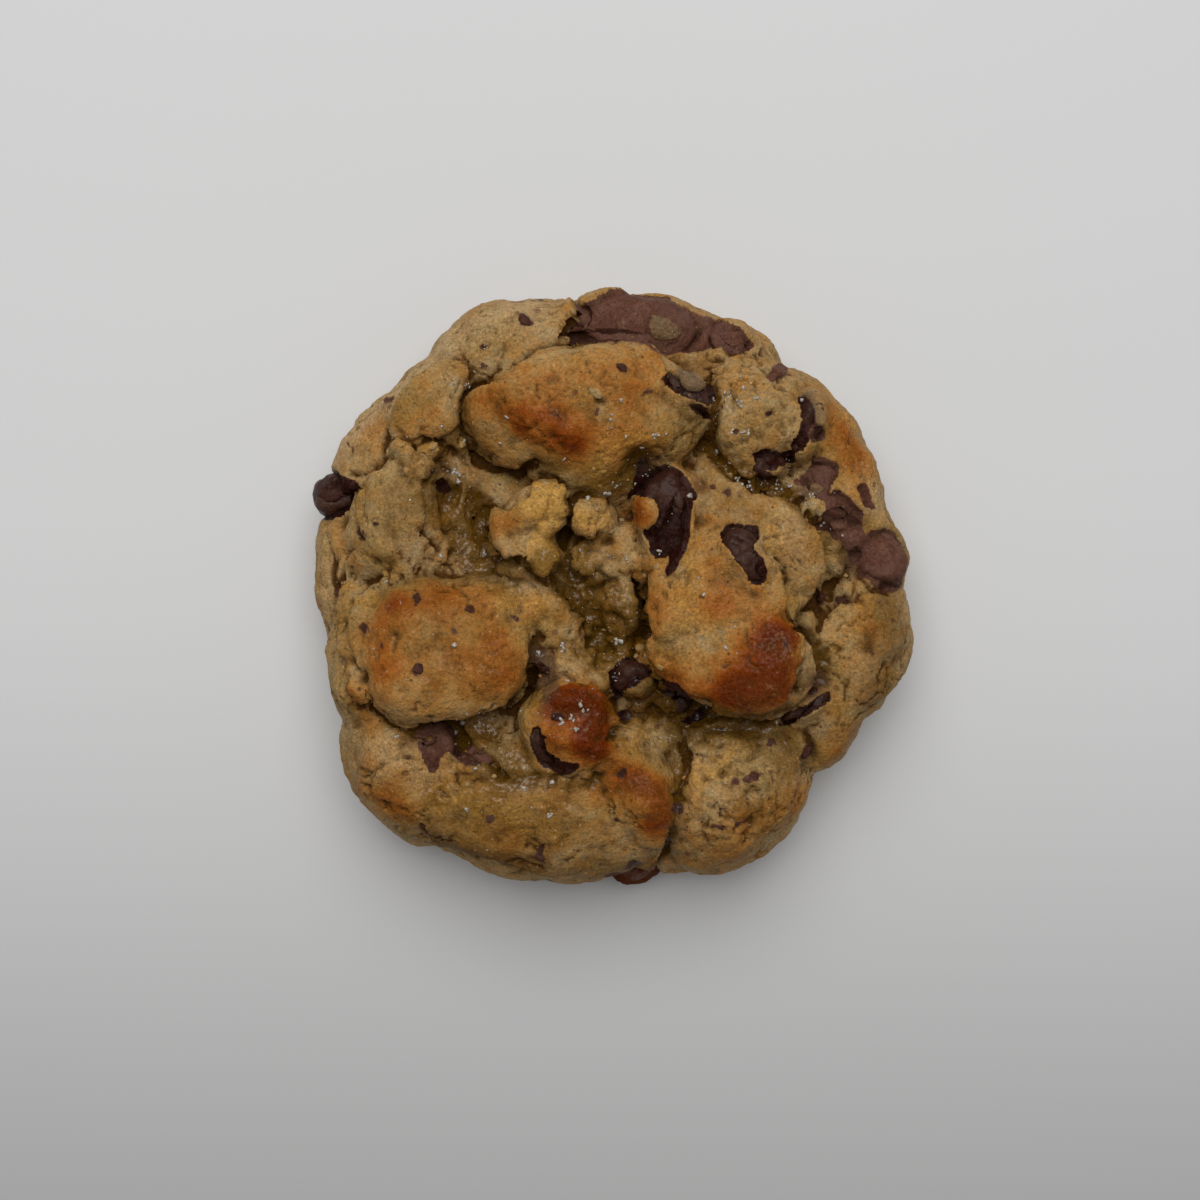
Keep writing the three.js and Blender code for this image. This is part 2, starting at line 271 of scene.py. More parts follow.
def seen_at(surface, pixel):
    """The place on a surface, and its outward direction, that the photograph shows at a pixel."""
    x, y = pixel
    direction = Vector(((x - PHOTO_MIDDLE) / PHOTO_SCALE, (PHOTO_MIDDLE - y) / PHOTO_SCALE, -1)).normalized()
    place, normal, _, _ = surface.ray_cast(CAMERA_PLACE, direction)
    return place, normal


def trail(surface, pixels):
    """Places along a line of the photograph, one every few pixels."""
    places = []
    for start, end in zip(pixels, pixels[1:]):
        length = math.dist(start, end)
        for share in np.arange(0, 1, TRAIL_STEP / max(length, TRAIL_STEP)):
            pixel = [a + (b - a) * share for a, b in zip(start, end)]
            places.append(seen_at(surface, pixel)[0])
    places.append(seen_at(surface, pixels[-1])[0])
    return np.array([place for place in places if place is not None])


def closeness(points, places, reach):
    """1 on a trail of places and 0 beyond its reach, for each point."""
    near = np.zeros(len(points))
    box = (points > places.min(axis=0) - reach) & (points < places.max(axis=0) + reach)
    chosen = np.nonzero(box.all(axis=1))[0]
    for part in np.array_split(chosen, max(1, len(chosen) // AT_ONCE)):
        gaps = np.linalg.norm(points[part][:, None] - places[None], axis=2)
        near[part] = 1 - ramp(gaps.min(axis=1), 0, reach)
    return near


ground = surface_of(crust)
print("middle of the photograph:", seen_at(ground, (600, 600))[0])

# %% [markdown]
# ## From a place to a pixel
# The other way round, a shape can be drawn on the photograph as a line of pixels and carried over to the
# skin: each point of the skin is seen at some pixel, and its distance from the line says what happens to
# it. The distance is positive on the left hand of someone who walks along the line.

# %% Distances in the photograph
PIXELS_PER_MM = 6.1  # about halfway up the cookie


def pixels_of(points):
    """The pixel at which the camera shows each place."""
    x, y, z = (points - np.array(CAMERA_PLACE)).T
    return np.stack([PHOTO_MIDDLE - PHOTO_SCALE * x / z, PHOTO_MIDDLE + PHOTO_SCALE * y / z], axis=1)


def from_line(places, line):
    """Each pixel's distance from a line and its way along it, in mm, and its direction away from it."""
    gap = np.full(len(places), 1e6)
    side = np.ones(len(places))
    along = np.zeros(len(places))
    away = np.zeros((len(places), 2))
    walked = 0.0
    for start, end in zip(line, line[1:]):
        step = np.subtract(end, start)
        size = np.hypot(*step)
        offset = places - start
        share = np.clip(offset @ step / size**2, 0, 1)
        from_nearest = offset - share[:, None] * step
        miss = np.linalg.norm(from_nearest, axis=1)
        closer = miss < gap
        gap[closer] = miss[closer]
        side[closer] = np.sign(step[1] * offset[:, 0] - step[0] * offset[:, 1])[closer]
        along[closer] = walked + (share * size)[closer]
        away[closer] = from_nearest[closer]
        walked += size
    away /= np.maximum(gap, 1e-6)[:, None]
    return gap * side / PIXELS_PER_MM, along / PIXELS_PER_MM, walked / PIXELS_PER_MM, away


def within(places, outline):
    """Each pixel's distance inside a closed outline in mm, negative outside."""
    gap = np.abs(from_line(places, [*outline, outline[0]])[0])
    x, y = places.T
    enclosed = np.zeros(len(places), dtype=bool)
    for (x0, y0), (x1, y1) in zip(outline, [*outline[1:], outline[0]]):
        crossed = (y0 > y) != (y1 > y)
        enclosed ^= crossed & (x < (x1 - x0) * (y - y0) / (y1 - y0 + 1e-9) + x0)
    return np.where(enclosed, gap, -gap)


# %% [markdown]
# ## Ledges
# The lumps of dough lie over each other like torn layers, and each has an edge that stands over what is
# below. A ledge is a line along such an edge, with the higher side on its left hand. That side rises and
# leans out, the other side drops, and a noise makes the torn ones ragged.

# %% Ledges of the lumps
LEDGES = [
    # rise, drop and raggedness in mm, then pixels: the broad lump on the far side
    (0.8, 0.7, 0.1, [(676, 386), (664, 368), (655, 355), (642, 346), (622, 340), (600, 340), (580, 342),
                     (560, 347), (540, 355), (522, 366), (510, 377), (497, 382), (480, 389), (470, 397),
                     (466, 408), (465, 422), (465, 438), (471, 449), (484, 459), (500, 467), (514, 470),
                     (526, 466), (536, 456)]),
    (0.7, 0.9, 0.2, [(573, 347), (571, 340), (566, 333), (565, 326), (575, 321), (578, 313), (573, 304),
                     (562, 299)]),
    (0.5, 0.5, 0.1, [(470, 382), (469, 368), (462, 361), (448, 361), (432, 368), (416, 378), (401, 392),
                     (394, 408), (392, 425), (388, 440), (380, 456)]),
    (0.2, 0.5, 0.3, [(404, 437), (420, 439), (440, 440), (452, 431), (460, 424), (464, 414)]),
    # left side
    (0.7, 0.7, 0.3, [(446, 452), (434, 443), (424, 448), (416, 452), (406, 446), (400, 440), (391, 450),
                     (380, 464), (369, 478), (361, 490), (358, 505), (360, 525), (366, 539), (359, 547),
                     (352, 556), (347, 572), (343, 590), (341, 610), (340, 640), (344, 662)]),
    (0.4, 0.8, 0.3, [(440, 558), (434, 546), (424, 534), (424, 515), (421, 495), (420, 480), (428, 466),
                     (437, 456)]),
    (0.4, 0.4, 0.1, [(388, 574), (370, 586), (358, 600), (353, 618), (353, 640), (357, 660), (361, 674)]),
    (0.4, 0.5, 0.1, [(338, 556), (336, 578), (339, 596), (334, 612), (332, 626), (336, 645), (341, 664)]),
    # the shield at the near left and the layer below it
    (0.6, 1.1, 0.1, [(350, 672), (345, 686), (349, 698), (360, 705), (371, 701), (384, 712), (396, 723),
                     (409, 732), (420, 728), (432, 720), (448, 718), (458, 726), (465, 738), (478, 747),
                     (490, 754), (498, 765), (506, 779)]),
    (0.7, 0.9, 0.2, [(500, 713), (513, 707), (523, 698), (528, 686), (528, 665), (528, 648), (533, 640),
                     (543, 631)]),
    (0.5, 1.1, 0.2, [(596, 622), (584, 610), (575, 601), (574, 594), (566, 592), (558, 583), (552, 573)]),
    (0.4, 0.4, 0.2, [(416, 762), (402, 760), (388, 764), (378, 771), (371, 780), (370, 792), (372, 806)]),
    (0.3, 0.5, 0.1, [(418, 824), (430, 838), (446, 850), (470, 855), (492, 858), (512, 866), (534, 873),
                     (560, 877)]),
    # crumbs in the middle
    (1.0, 0.8, 0.35, [(562, 520), (567, 508), (566, 498), (562, 489), (553, 484), (541, 482), (534, 488),
                      (530, 497), (520, 504), (510, 510), (498, 512), (488, 517), (484, 526), (484, 540),
                      (488, 551), (497, 557), (508, 559), (522, 557), (530, 562), (537, 573), (545, 575),
                      (551, 566), (553, 554), (558, 542)]),
    (0.8, 0.6, 0.25, [(608, 514), (604, 504), (594, 500), (581, 501), (573, 509), (572, 521), (575, 532),
                      (583, 540), (593, 538), (602, 530)]),
    (0.7, 0.5, 0.1, [(592, 546), (584, 541), (576, 546), (572, 556), (574, 568), (582, 575), (591, 573),
                     (597, 564)]),
    # the slab at the right, its pale lower layer, and the dome behind it
    (1.1, 1.3, 0.25, [(640, 566), (636, 576), (642, 590), (645, 604), (650, 617), (655, 630), (652, 638),
                      (642, 640), (636, 648), (637, 657), (647, 663), (650, 672), (660, 680), (671, 682),
                      (682, 688), (694, 697), (708, 705), (724, 710), (742, 712), (758, 712), (768, 706),
                      (780, 696), (790, 680), (796, 660), (797, 640), (794, 624), (787, 606), (780, 590),
                      (776, 575), (774, 555)]),
    (0.5, 0.8, 0.05, [(752, 716), (764, 720), (778, 719), (794, 708), (808, 694), (816, 678), (816, 660),
                      (810, 644), (801, 630), (792, 616)]),
    (0.7, 1.3, 0.1, [(802, 612), (808, 598), (814, 584), (823, 571), (823, 556), (820, 543), (812, 526),
                     (804, 511), (794, 499), (782, 490), (768, 484), (754, 487), (738, 482), (728, 471),
                     (717, 458), (704, 448)]),
    # near side
    (0.9, 1.0, 0.1, [(644, 872), (656, 861), (665, 843), (671, 820), (672, 803), (668, 790)]),
    (0.5, 0.9, 0.1, [(672, 800), (680, 781), (684, 762), (684, 743), (679, 728), (668, 720)]),
    (0.7, 0.8, 0.2, [(606, 741), (611, 724), (611, 708), (604, 695), (592, 687), (576, 684), (560, 690),
                     (548, 699)]),
    (0.4, 0.7, 0.3, [(800, 724), (784, 722), (762, 723), (742, 721), (724, 718), (706, 723), (690, 723)]),
    (0.2, 0.6, 0.1, [(814, 768), (811, 755), (806, 742), (799, 730)]),
    (0.5, 0.4, 0.3, [(868, 604), (850, 600), (836, 606), (826, 618), (820, 634), (820, 652)]),
]
LEDGE_STRENGTH = 1.15
LEDGE_EDGE = 0.5  # mm across which a ledge rises
LEDGE_BACK = (1.0, 5.0)  # mm behind the edge where the rise starts to fade and has faded
LEDGE_FOOT = (0.3, 1.7)  # the same in front of it, for the drop
LEDGE_LEAN = 0.25  # mm that the edge leans out
LEDGE_LIP = (0.4, 1.6)  # mm behind the edge where the lean starts to fade and has faded
LEDGE_RAGS = 1.5 * MM  # length of the ragged waves along an edge
FACING_US = (0.0, 0.3)  # ledges fade where the skin turns away from the camera
LEDGE_END = 1.5  # mm at both ends of a line over which it fades


def ledges(points, outward):
    """How far each point moves, from all ledges together."""
    places = pixels_of(points)
    ragged = fractal(points, LEDGE_RAGS, 3, seed=8)
    seen = ramp(outward[:, 2], *FACING_US)
    shift = np.zeros_like(points)
    for rise, drop, rag, line in LEDGES:
        distance, along, length, away = from_line(places, line)
        distance = distance + rag * ragged
        part = seen * ramp(along, 0, LEDGE_END) * (1 - ramp(along, length - LEDGE_END, length))
        top = part * ramp(distance, 0, LEDGE_EDGE) * (1 - ramp(distance, *LEDGE_BACK))
        foot = part * (1 - ramp(distance, 0, LEDGE_EDGE)) * (1 - ramp(-distance, *LEDGE_FOOT))
        lean = top * (1 - ramp(distance, *LEDGE_LIP)) * LEDGE_LEAN
        shift += outward * (rise * top - drop * foot)[:, None]
        shift[:, 0] -= lean * away[:, 0]
        shift[:, 1] += lean * away[:, 1]
    return shift * LEDGE_STRENGTH * MM


points = read_points(crust)
points += ledges(points, read_normals(crust))
write_points(crust, points)
print("ledges:", len(LEDGES))

# %% [markdown]
# ## Cracks, hollows and knobs
# Each stroke below is a line of pixels with a width and a depth in millimetres, as one would draw with a
# sculpting brush: a crease where two lumps meet, a crack where the crust tore, a ridge or a knob that
# stands up. Positive depths cut in and negative ones raise.

# %% Strokes on the dough
STROKES = [
    # creases where lumps meet: width, depth, pixels
    (1.4, 0.6, [(571, 345), (566, 330), (569, 318)]),
    (1.5, 0.8, [(706, 376), (714, 400), (714, 425), (708, 445)]),
    (1.3, 0.6, [(392, 452), (372, 470), (352, 476)]),
    (1.2, 0.6, [(506, 777), (530, 776), (560, 775), (598, 779)]),
    (1.4, 0.6, [(477, 462), (498, 470), (520, 474), (534, 464)]),
    (1.5, 0.9, [(510, 561), (530, 572), (552, 580), (570, 600), (582, 620)]),
    (1.2, 0.7, [(612, 690), (616, 712), (614, 735), (628, 738)]),
    (1.0, 0.6, [(327, 540), (333, 556), (331, 572), (338, 586)]),
    (1.4, 1.3, [(712, 454), (724, 470), (740, 481), (756, 487), (782, 490), (800, 502)]),
    (1.3, 1.0, [(484, 520), (486, 548), (500, 562)]),
    (1.3, 1.0, [(568, 500), (571, 520), (562, 545)]),
    (1.4, 1.2, [(612, 612), (622, 622), (630, 640)]),
    (1.4, 1.0, [(590, 640), (612, 652)]),
    (1.1, 1.3, [(800, 503), (812, 520), (826, 529), (837, 540), (845, 549)]),
    (1.0, 1.3, [(853, 552), (849, 566), (841, 578), (832, 586)]),
    (0.9, 0.9, [(856, 574), (866, 582), (874, 589), (890, 590)]),
    (1.2, 1.4, [(799, 627), (806, 635), (816, 643)]),
    (1.1, 1.0, [(816, 590), (814, 600), (818, 612)]),
    (1.0, 1.0, [(826, 586), (828, 598)]),
    (0.9, 1.0, [(318, 512), (336, 511), (346, 506), (350, 494), (358, 488)]),
    (0.9, 1.0, [(358, 526), (363, 540)]),
    (0.8, 1.0, [(714, 340), (720, 349), (730, 354), (746, 350)]),
    (0.7, 0.7, [(692, 338), (700, 332), (705, 326)]),
    (1.0, 0.9, [(566, 324), (574, 322), (577, 318)]),
    (1.0, 1.2, [(564, 338), (570, 342)]),
    # cracks and pores that go deep
    (0.8, 1.4, [(500, 771), (507, 779)]),
    (0.6, 1.2, [(720, 808), (719, 816)]),
    (0.5, 0.8, [(708, 823), (712, 819)]),
    (0.5, 0.8, [(748, 804), (750, 809)]),
    (0.6, 1.3, [(666, 371), (668, 374)]),
    (0.9, 1.0, [(362, 786), (370, 788)]),
    (1.2, 1.4, [(504, 560), (516, 562)]),
    (0.6, 0.8, [(765, 556), (768, 558)]),
    (0.6, 0.7, [(352, 474), (354, 475)]),
    (0.6, 0.7, [(364, 475), (370, 473)]),
    (0.5, 0.7, [(700, 596), (702, 597)]),
    (0.5, 0.6, [(724, 668), (730, 663)]),
    (0.5, 0.6, [(662, 592), (666, 595)]),
    (0.5, 0.6, [(421, 826), (432, 838)]),
    (0.5, 0.6, [(436, 841), (444, 848)]),
    (0.5, 0.5, [(482, 812), (486, 806)]),
    (0.6, 0.5, [(752, 470), (756, 462)]),
    (0.8, 1.0, [(424, 534), (421, 529)]),
    (0.7, 0.8, [(834, 515), (840, 516)]),
    (0.6, 0.7, [(612, 776), (622, 774)]),
    # hollows
    (4.5, 1.5, [(474, 510), (484, 516)]),
    (4.0, 1.2, [(474, 530), (482, 540)]),
    (4.5, 1.2, [(440, 482), (450, 490)]),
    (5.0, 1.3, [(572, 590), (590, 606), (606, 626)]),
    (4.0, 1.4, [(640, 460), (644, 470)]),
    (5.0, 1.6, [(438, 726), (452, 732)]),
    (4.0, 1.5, [(672, 690), (682, 700)]),
    (4.0, 1.5, [(694, 712), (704, 708)]),
    (3.0, 0.5, [(534, 466), (545, 470)]),
    (4.0, 0.8, [(612, 700), (630, 712)]),
    (4.0, 0.8, [(640, 600), (648, 630)]),
    (4.0, 0.7, [(540, 650), (536, 675)]),
    (3.5, 1.0, [(730, 470), (750, 478), (776, 482)]),
    (4.0, 1.0, [(786, 612), (802, 622)]),
    # ridges and knobs that stand up
    (4.5, -0.9, [(516, 412), (540, 420), (570, 430)]),
    (3.5, -0.6, [(480, 415), (486, 440), (500, 458)]),
    (2.2, -1.2, [(460, 441), (466, 448)]),
    (2.2, -0.9, [(400, 443), (404, 452)]),
    (2.4, -0.9, [(434, 446), (426, 458), (420, 470)]),
    (2.6, -0.7, [(376, 500), (372, 530), (384, 552)]),
    (2.4, -0.6, [(352, 562), (360, 560)]),
    (2.4, -0.8, [(640, 570), (650, 566), (658, 572)]),
    (2.0, -0.8, [(640, 648), (650, 655), (664, 668)]),
    (1.9, -0.6, [(498, 524), (500, 540), (504, 552)]),
    (2.0, -0.7, [(540, 490), (550, 494), (558, 502)]),
    (2.2, -0.6, [(520, 620), (534, 612), (538, 604)]),
    (1.6, -0.8, [(556, 556), (564, 552), (570, 546)]),
    (2.8, -0.7, [(636, 500), (648, 512), (642, 524)]),
    (3.4, -0.9, [(640, 800), (654, 806), (662, 816)]),
    (3.0, -0.7, [(620, 735), (640, 732), (656, 742)]),
    (2.4, -0.6, [(590, 745), (610, 750), (626, 762)]),
    (2.6, -0.8, [(566, 700), (586, 700), (598, 712)]),
    (2.0, -0.7, [(556, 736), (572, 744)]),
    (1.1, -1.0, [(626, 702), (616, 714), (612, 730)]),
    (2.0, -0.6, [(356, 690), (364, 694)]),
    (2.4, -0.6, [(704, 790), (720, 796)]),
    (2.6, -0.5, [(700, 748), (720, 742), (744, 746)]),
    (1.0, -0.5, [(598, 588), (604, 604), (608, 612)]),
    (1.6, -0.6, [(618, 580), (628, 590)]),
    (1.6, -0.6, [(604, 548), (620, 552)]),
    (1.5, -0.6, [(600, 560), (614, 572)]),
    (1.6, -0.5, [(588, 650), (606, 652), (620, 660)]),
    (1.8, -0.5, [(556, 664), (574, 670), (590, 660)]),
    (1.4, -0.6, [(640, 706), (654, 700), (664, 706)]),
    (0.9, -0.5, [(676, 496), (668, 514), (656, 532)]),
    (0.8, -0.6, [(684, 498), (683, 520), (684, 545), (680, 560)]),
    (1.0, -0.5, [(690, 500), (692, 520), (688, 545)]),
    (0.9, 0.7, [(680, 500), (674, 520), (662, 540)]),
    (1.3, -0.5, [(826, 512), (840, 505), (850, 514), (846, 526), (832, 526)]),
]


def stroke(points, surface, strokes):
    """How far each point goes in, from all strokes together."""
    depth = np.zeros(len(points))
    for width, deep, pixels in strokes:
        depth += deep * MM * closeness(points, trail(surface, pixels), width * MM)
    return depth


ground = surface_of(crust)
points = read_points(crust)
points -= read_normals(crust) * stroke(points, ground, STROKES)[:, None]
write_points(crust, points)
print("strokes:", len(STROKES))

# %% [markdown]
# ## Where chocolate shows
# The outlines below go round the chocolate that the photograph shows, both the solid pieces and what melted
# out of them. Near a solid piece the skin sinks below it there, so the piece is bare. Elsewhere in the
# outline the skin itself becomes a layer of chocolate, a little raised. Each outline has a number for its
# kind, 0 for milk and 1 for dark. Films are places where dough lies over the chocolate again.

# %% Outlines of the chocolate
MELTED = [
    (0, [(577, 314), (584, 304), (594, 299), (602, 294), (612, 288), (640, 286), (656, 290), (670, 298),
         (686, 308), (702, 314), (718, 319), (732, 323), (742, 329), (748, 338), (755, 345), (748, 350),
         (734, 354), (727, 353), (720, 346), (712, 347), (704, 351), (690, 352), (674, 353), (660, 357),
         (646, 348), (622, 341), (600, 341), (584, 343), (574, 346), (567, 338), (572, 327), (580, 321)]),
    (0, [(766, 376), (772, 367), (780, 363), (788, 365), (788, 374), (780, 379), (772, 382)]),
    (0, [(812, 424), (824, 428), (827, 438), (815, 442), (808, 434)]),
    (0, [(814, 457), (826, 457), (839, 464), (838, 474), (830, 484), (828, 498), (820, 500), (812, 493),
         (800, 487), (792, 484), (800, 478), (808, 470)]),
    (0, [(826, 500), (836, 490), (848, 496), (856, 505), (863, 513), (861, 525), (866, 535), (862, 548),
         (850, 554), (840, 546), (828, 538), (819, 530), (821, 520), (826, 512)]),
    (0, [(858, 486), (866, 482), (871, 494), (874, 508), (866, 506)]),
    (0, [(852, 550), (861, 540), (870, 534), (881, 530), (893, 531), (901, 541), (906, 556), (907, 572),
         (902, 586), (895, 592), (881, 591), (872, 585), (866, 576), (858, 568)]),
    (0, [(417, 744), (424, 737), (430, 731), (440, 724), (450, 734), (457, 746), (464, 751), (476, 750),
         (486, 756), (480, 765), (466, 766), (457, 759), (451, 750), (446, 752), (440, 759), (436, 771),
         (430, 772), (425, 763), (422, 755)]),
    (0, [(604, 876), (616, 871), (640, 868), (656, 872), (661, 880), (655, 889), (630, 893), (608, 888)]),
    (1, [(311, 503), (314, 490), (323, 479), (334, 473), (347, 477), (358, 482), (360, 488), (352, 495),
         (348, 506), (340, 508), (332, 510), (326, 514), (314, 513)]),
    (1, [(667, 464), (680, 470), (690, 482), (697, 494), (692, 506), (690, 520), (690, 536), (686, 550),
         (680, 561), (674, 572), (666, 578), (664, 570), (671, 560), (668, 556), (655, 558), (650, 552),
         (649, 541), (641, 533), (651, 528), (659, 519), (660, 508), (655, 498), (645, 495), (634, 495),
         (626, 500), (628, 492), (640, 480), (652, 470)]),
    (1, [(632, 486), (640, 456), (648, 458), (650, 470), (640, 482)]),
    (1, [(720, 532), (726, 525), (736, 523), (744, 525), (752, 524), (759, 525), (760, 533), (758, 540),
         (753, 544), (757, 552), (765, 562), (768, 572), (766, 582), (758, 585), (748, 581), (748, 574),
         (738, 562), (730, 550), (722, 541)]),
    (1, [(797, 397), (804, 395), (811, 402), (815, 412), (815, 424), (811, 433), (808, 442), (802, 450),
         (794, 453), (790, 447), (796, 438), (800, 430), (803, 420), (800, 408)]),
    (1, [(752, 453), (761, 449), (772, 449), (782, 453), (793, 451), (794, 462), (782, 466), (774, 471),
         (763, 470), (756, 464)]),
    (1, [(660, 378), (668, 373), (676, 379), (686, 389), (700, 392), (706, 386), (703, 377), (711, 384),
         (716, 398), (710, 405), (700, 401), (688, 397), (672, 391)]),
    (1, [(690, 406), (700, 406), (708, 412), (713, 421), (704, 418), (694, 412)]),
    (1, [(532, 731), (537, 725), (540, 733), (545, 738), (543, 747), (549, 755), (557, 760), (567, 761),
         (578, 762), (581, 766), (572, 771), (558, 770), (545, 768), (536, 760), (531, 748), (530, 738)]),
    (1, [(550, 714), (560, 712), (566, 718), (558, 722), (552, 720)]),
    (1, [(609, 672), (617, 662), (628, 657), (640, 663), (650, 666), (652, 674), (642, 680), (634, 687),
         (624, 690), (620, 699), (614, 698), (611, 688)]),
    (1, [(664, 680), (676, 682), (686, 691), (692, 699), (684, 707), (674, 702), (666, 692)]),
    (1, [(676, 721), (690, 716), (699, 708), (706, 703), (708, 714), (701, 722), (688, 724)]),
    (1, [(616, 713), (624, 708), (632, 712), (630, 720), (620, 721)]),
    (1, [(779, 725), (790, 714), (804, 706), (818, 698), (830, 692), (830, 701), (818, 709), (803, 717),
         (790, 723)]),
    (1, [(533, 662), (541, 662), (550, 668), (549, 675), (540, 673)]),
    (1, [(433, 482), (440, 476), (448, 482), (452, 490), (444, 494), (436, 490)]),
]
FILMS = [
    [(654, 312), (668, 316), (680, 322), (688, 332), (678, 341), (662, 342), (650, 338), (649, 324)],
    [(678, 368), (690, 370), (700, 378), (704, 386), (696, 391), (684, 388), (676, 378)],
    [(812, 482), (824, 486), (820, 497), (808, 492)],
    [(796, 487), (806, 486), (812, 496), (802, 498)],
]
CHIPS = [
    # pixel, length and width in pixels, angle in the picture
    ((525, 320), 14, 10, -35), ((540, 298), 14, 5, 0), ((390, 399), 9, 5, 40), ((623, 368), 13, 7, -40),
    ((647, 392), 9, 5, 20), ((596, 412), 8, 7, 0), ((768, 414), 9, 5, 30), ((418, 669), 12, 10, 60),
    ((416, 598), 8, 14, 0), ((365, 629), 8, 10, 30), ((470, 608), 10, 7, -30), ((515, 617), 8, 5, -60),
    ((454, 632), 5, 6, 0), ((382, 645), 5, 6, 0), ((352, 448), 5, 9, 20), ((728, 492), 7, 9, 30),
    ((714, 487), 5, 5, 0), ((740, 496), 7, 4, -40), ((736, 430), 6, 5, 0), ((554, 415), 9, 5, -40),
    ((771, 742), 7, 8, 0), ((753, 777), 17, 8, 20), ((735, 781), 8, 6, 0), ((740, 823), 15, 5, 30),
    ((718, 827), 14, 4, -10), ((807, 752), 8, 16, -30), ((541, 858), 12, 6, -30), ((541, 853), 5, 12, 0),
    ((490, 819), 9, 7, 0), ((622, 774), 8, 5, 20), ((678, 808), 11, 10, 0), ((604, 864), 7, 4, 20),
    ((632, 862), 12, 4, 15), ((361, 535), 6, 13, 25), ((336, 593), 6, 8, 0), ((786, 644), 5, 16, 20),
    ((698, 755), 6, 3, -10), ((722, 730), 5, 4, 0), ((617, 819), 6, 4, 0), ((515, 745), 6, 4, -20),
    ((430, 715), 6, 4, 0), ((358, 690), 4, 3, -30), ((842, 600), 14, 5, -10), ((820, 598), 7, 12, 0),
    ((860, 613), 5, 3, -20), ((880, 603), 4, 3, 0), ((726, 666), 10, 3, 35), ((484, 346), 8, 5, 0),
    ((484, 366), 9, 6, 30), ((441, 487), 10, 9, 20), ((603, 475), 4, 3, 0), ((376, 524), 5, 5, 0),
]
SINK = 1.1 * MM  # below the swollen skin
SINK_REACH = (0.55 * MM, 1.1 * MM)  # from the chocolate: full sink up to the first, none from the second
LOOK_OUT = 3 * MM  # how far off a piece of chocolate is looked for
BARE_EDGE = (-0.2, 0.1)  # mm inside an outline where the skin starts to sink and is down
FILM_SINK = 0.30  # mm that the edge of a film lies below the other dough
FILM_EDGE = (-0.1, 0.1)  # mm inside a film where that starts and is reached
FILM_RISE = 0.6  # share of it that is gone again in the middle of a film
FILM_MIDDLE = 1.2  # mm inside a film where that is
LAYER = 0.22  # mm that melted chocolate is raised
TORN_EDGE = 0.15  # mm of raggedness along the outlines
TORN_WAVES = 1.1 * MM  # length of its waves
CHIP_REACH = 1.1  # how far a chip's mark goes beyond its outline, as a share
SIDEWAYS = 0.18  # how little the skin may face up before an outline ends there
STEEPEST = 8.0  # how soon it ends, so that chocolate doesn't run down the sides
LOWEST = 14 * MM  # melted chocolate lies above this height
AT_THE_RIM = ("dark_chip_left", "milk_chunk_right", "milk_chunk_near")  # bare on their steep sides too


def distance_to(names, points, limit):
    """Distance from each point to the nearest of some pieces of chocolate, up to a limit."""
    form = bmesh.new()
    for name in names:
        merged_node(form, name)
    tree = BVHTree.FromBMesh(form)
    form.free()
    found = (tree.find_nearest(Vector(point), limit)[3] for point in points)
    return np.array([limit if gap is None else gap for gap in found])


points = read_points(crust)
outward = read_normals(crust)
places = pixels_of(points)
ragged = TORN_EDGE * fractal(points, TORN_WAVES, 3, seed=4)
melt = np.full(len(points), -5.0)
darkness = np.zeros(len(points))
for kind, outline in MELTED:
    distance = within(places, outline)
    darkness = np.where(distance > melt, kind, darkness)
    melt = np.maximum(melt, distance)
chance = random.Random(8)
for pixel, length, width, angle in CHIPS:
    turn = math.radians(angle)
    right, down = (places - pixel).T
    long_way = (right * math.cos(turn) - down * math.sin(turn)) / (length / 2)
    cross_way = (right * math.sin(turn) + down * math.cos(turn)) / (width / 2)
    inside = (CHIP_REACH - np.hypot(long_way, cross_way)) * min(length, width) / 3
    distance = inside / PIXELS_PER_MM + ragged
    darkness = np.where(distance > melt, chance.uniform(0.1, 0.9), darkness)
    melt = np.maximum(melt, distance)
film = np.max([within(places, outline) for outline in FILMS], axis=0) + 2 * ragged
outlined = np.minimum(melt, -film) + ragged
melt = np.minimum(outlined, STEEPEST * (outward[:, 2] - SIDEWAYS))
melt = np.minimum(melt, (points[:, 2] - LOWEST) / MM)
near = 1 - ramp(distance_to(CHOCOLATE, points, LOOK_OUT), *SINK_REACH)
bare = near * ramp(outlined, *BARE_EDGE)
bare = np.maximum(bare, 1 - ramp(distance_to(AT_THE_RIM, points, LOOK_OUT), *SINK_REACH))
points -= outward * (SINK * bare)[:, None]
thinned = FILM_SINK * near * (1 - bare) * ramp(film, *FILM_EDGE)
thinned *= 1 - FILM_RISE * ramp(film, 0, FILM_MIDDLE)
points -= outward * (thinned * MM)[:, None]
points += outward * (LAYER * MM * (1 - near) * ramp(melt, 0, 0.5))[:, None]
write_points(crust, points)
print("points on bare chocolate:", int((bare > 0.5).sum()), "and on melted:", int((melt > 0).sum()))

# %% [markdown]
# ## Grain and crags
# Baked dough isn't smooth: it has soft undulations a few millimetres long, and a sandy grain from sugar
# and flour. Where it was torn, in the sunken middle and along ragged edges, it is craggy. So waves of three
# lengths and thin folds are added everywhere, and crags only where a mask says that the dough is torn.

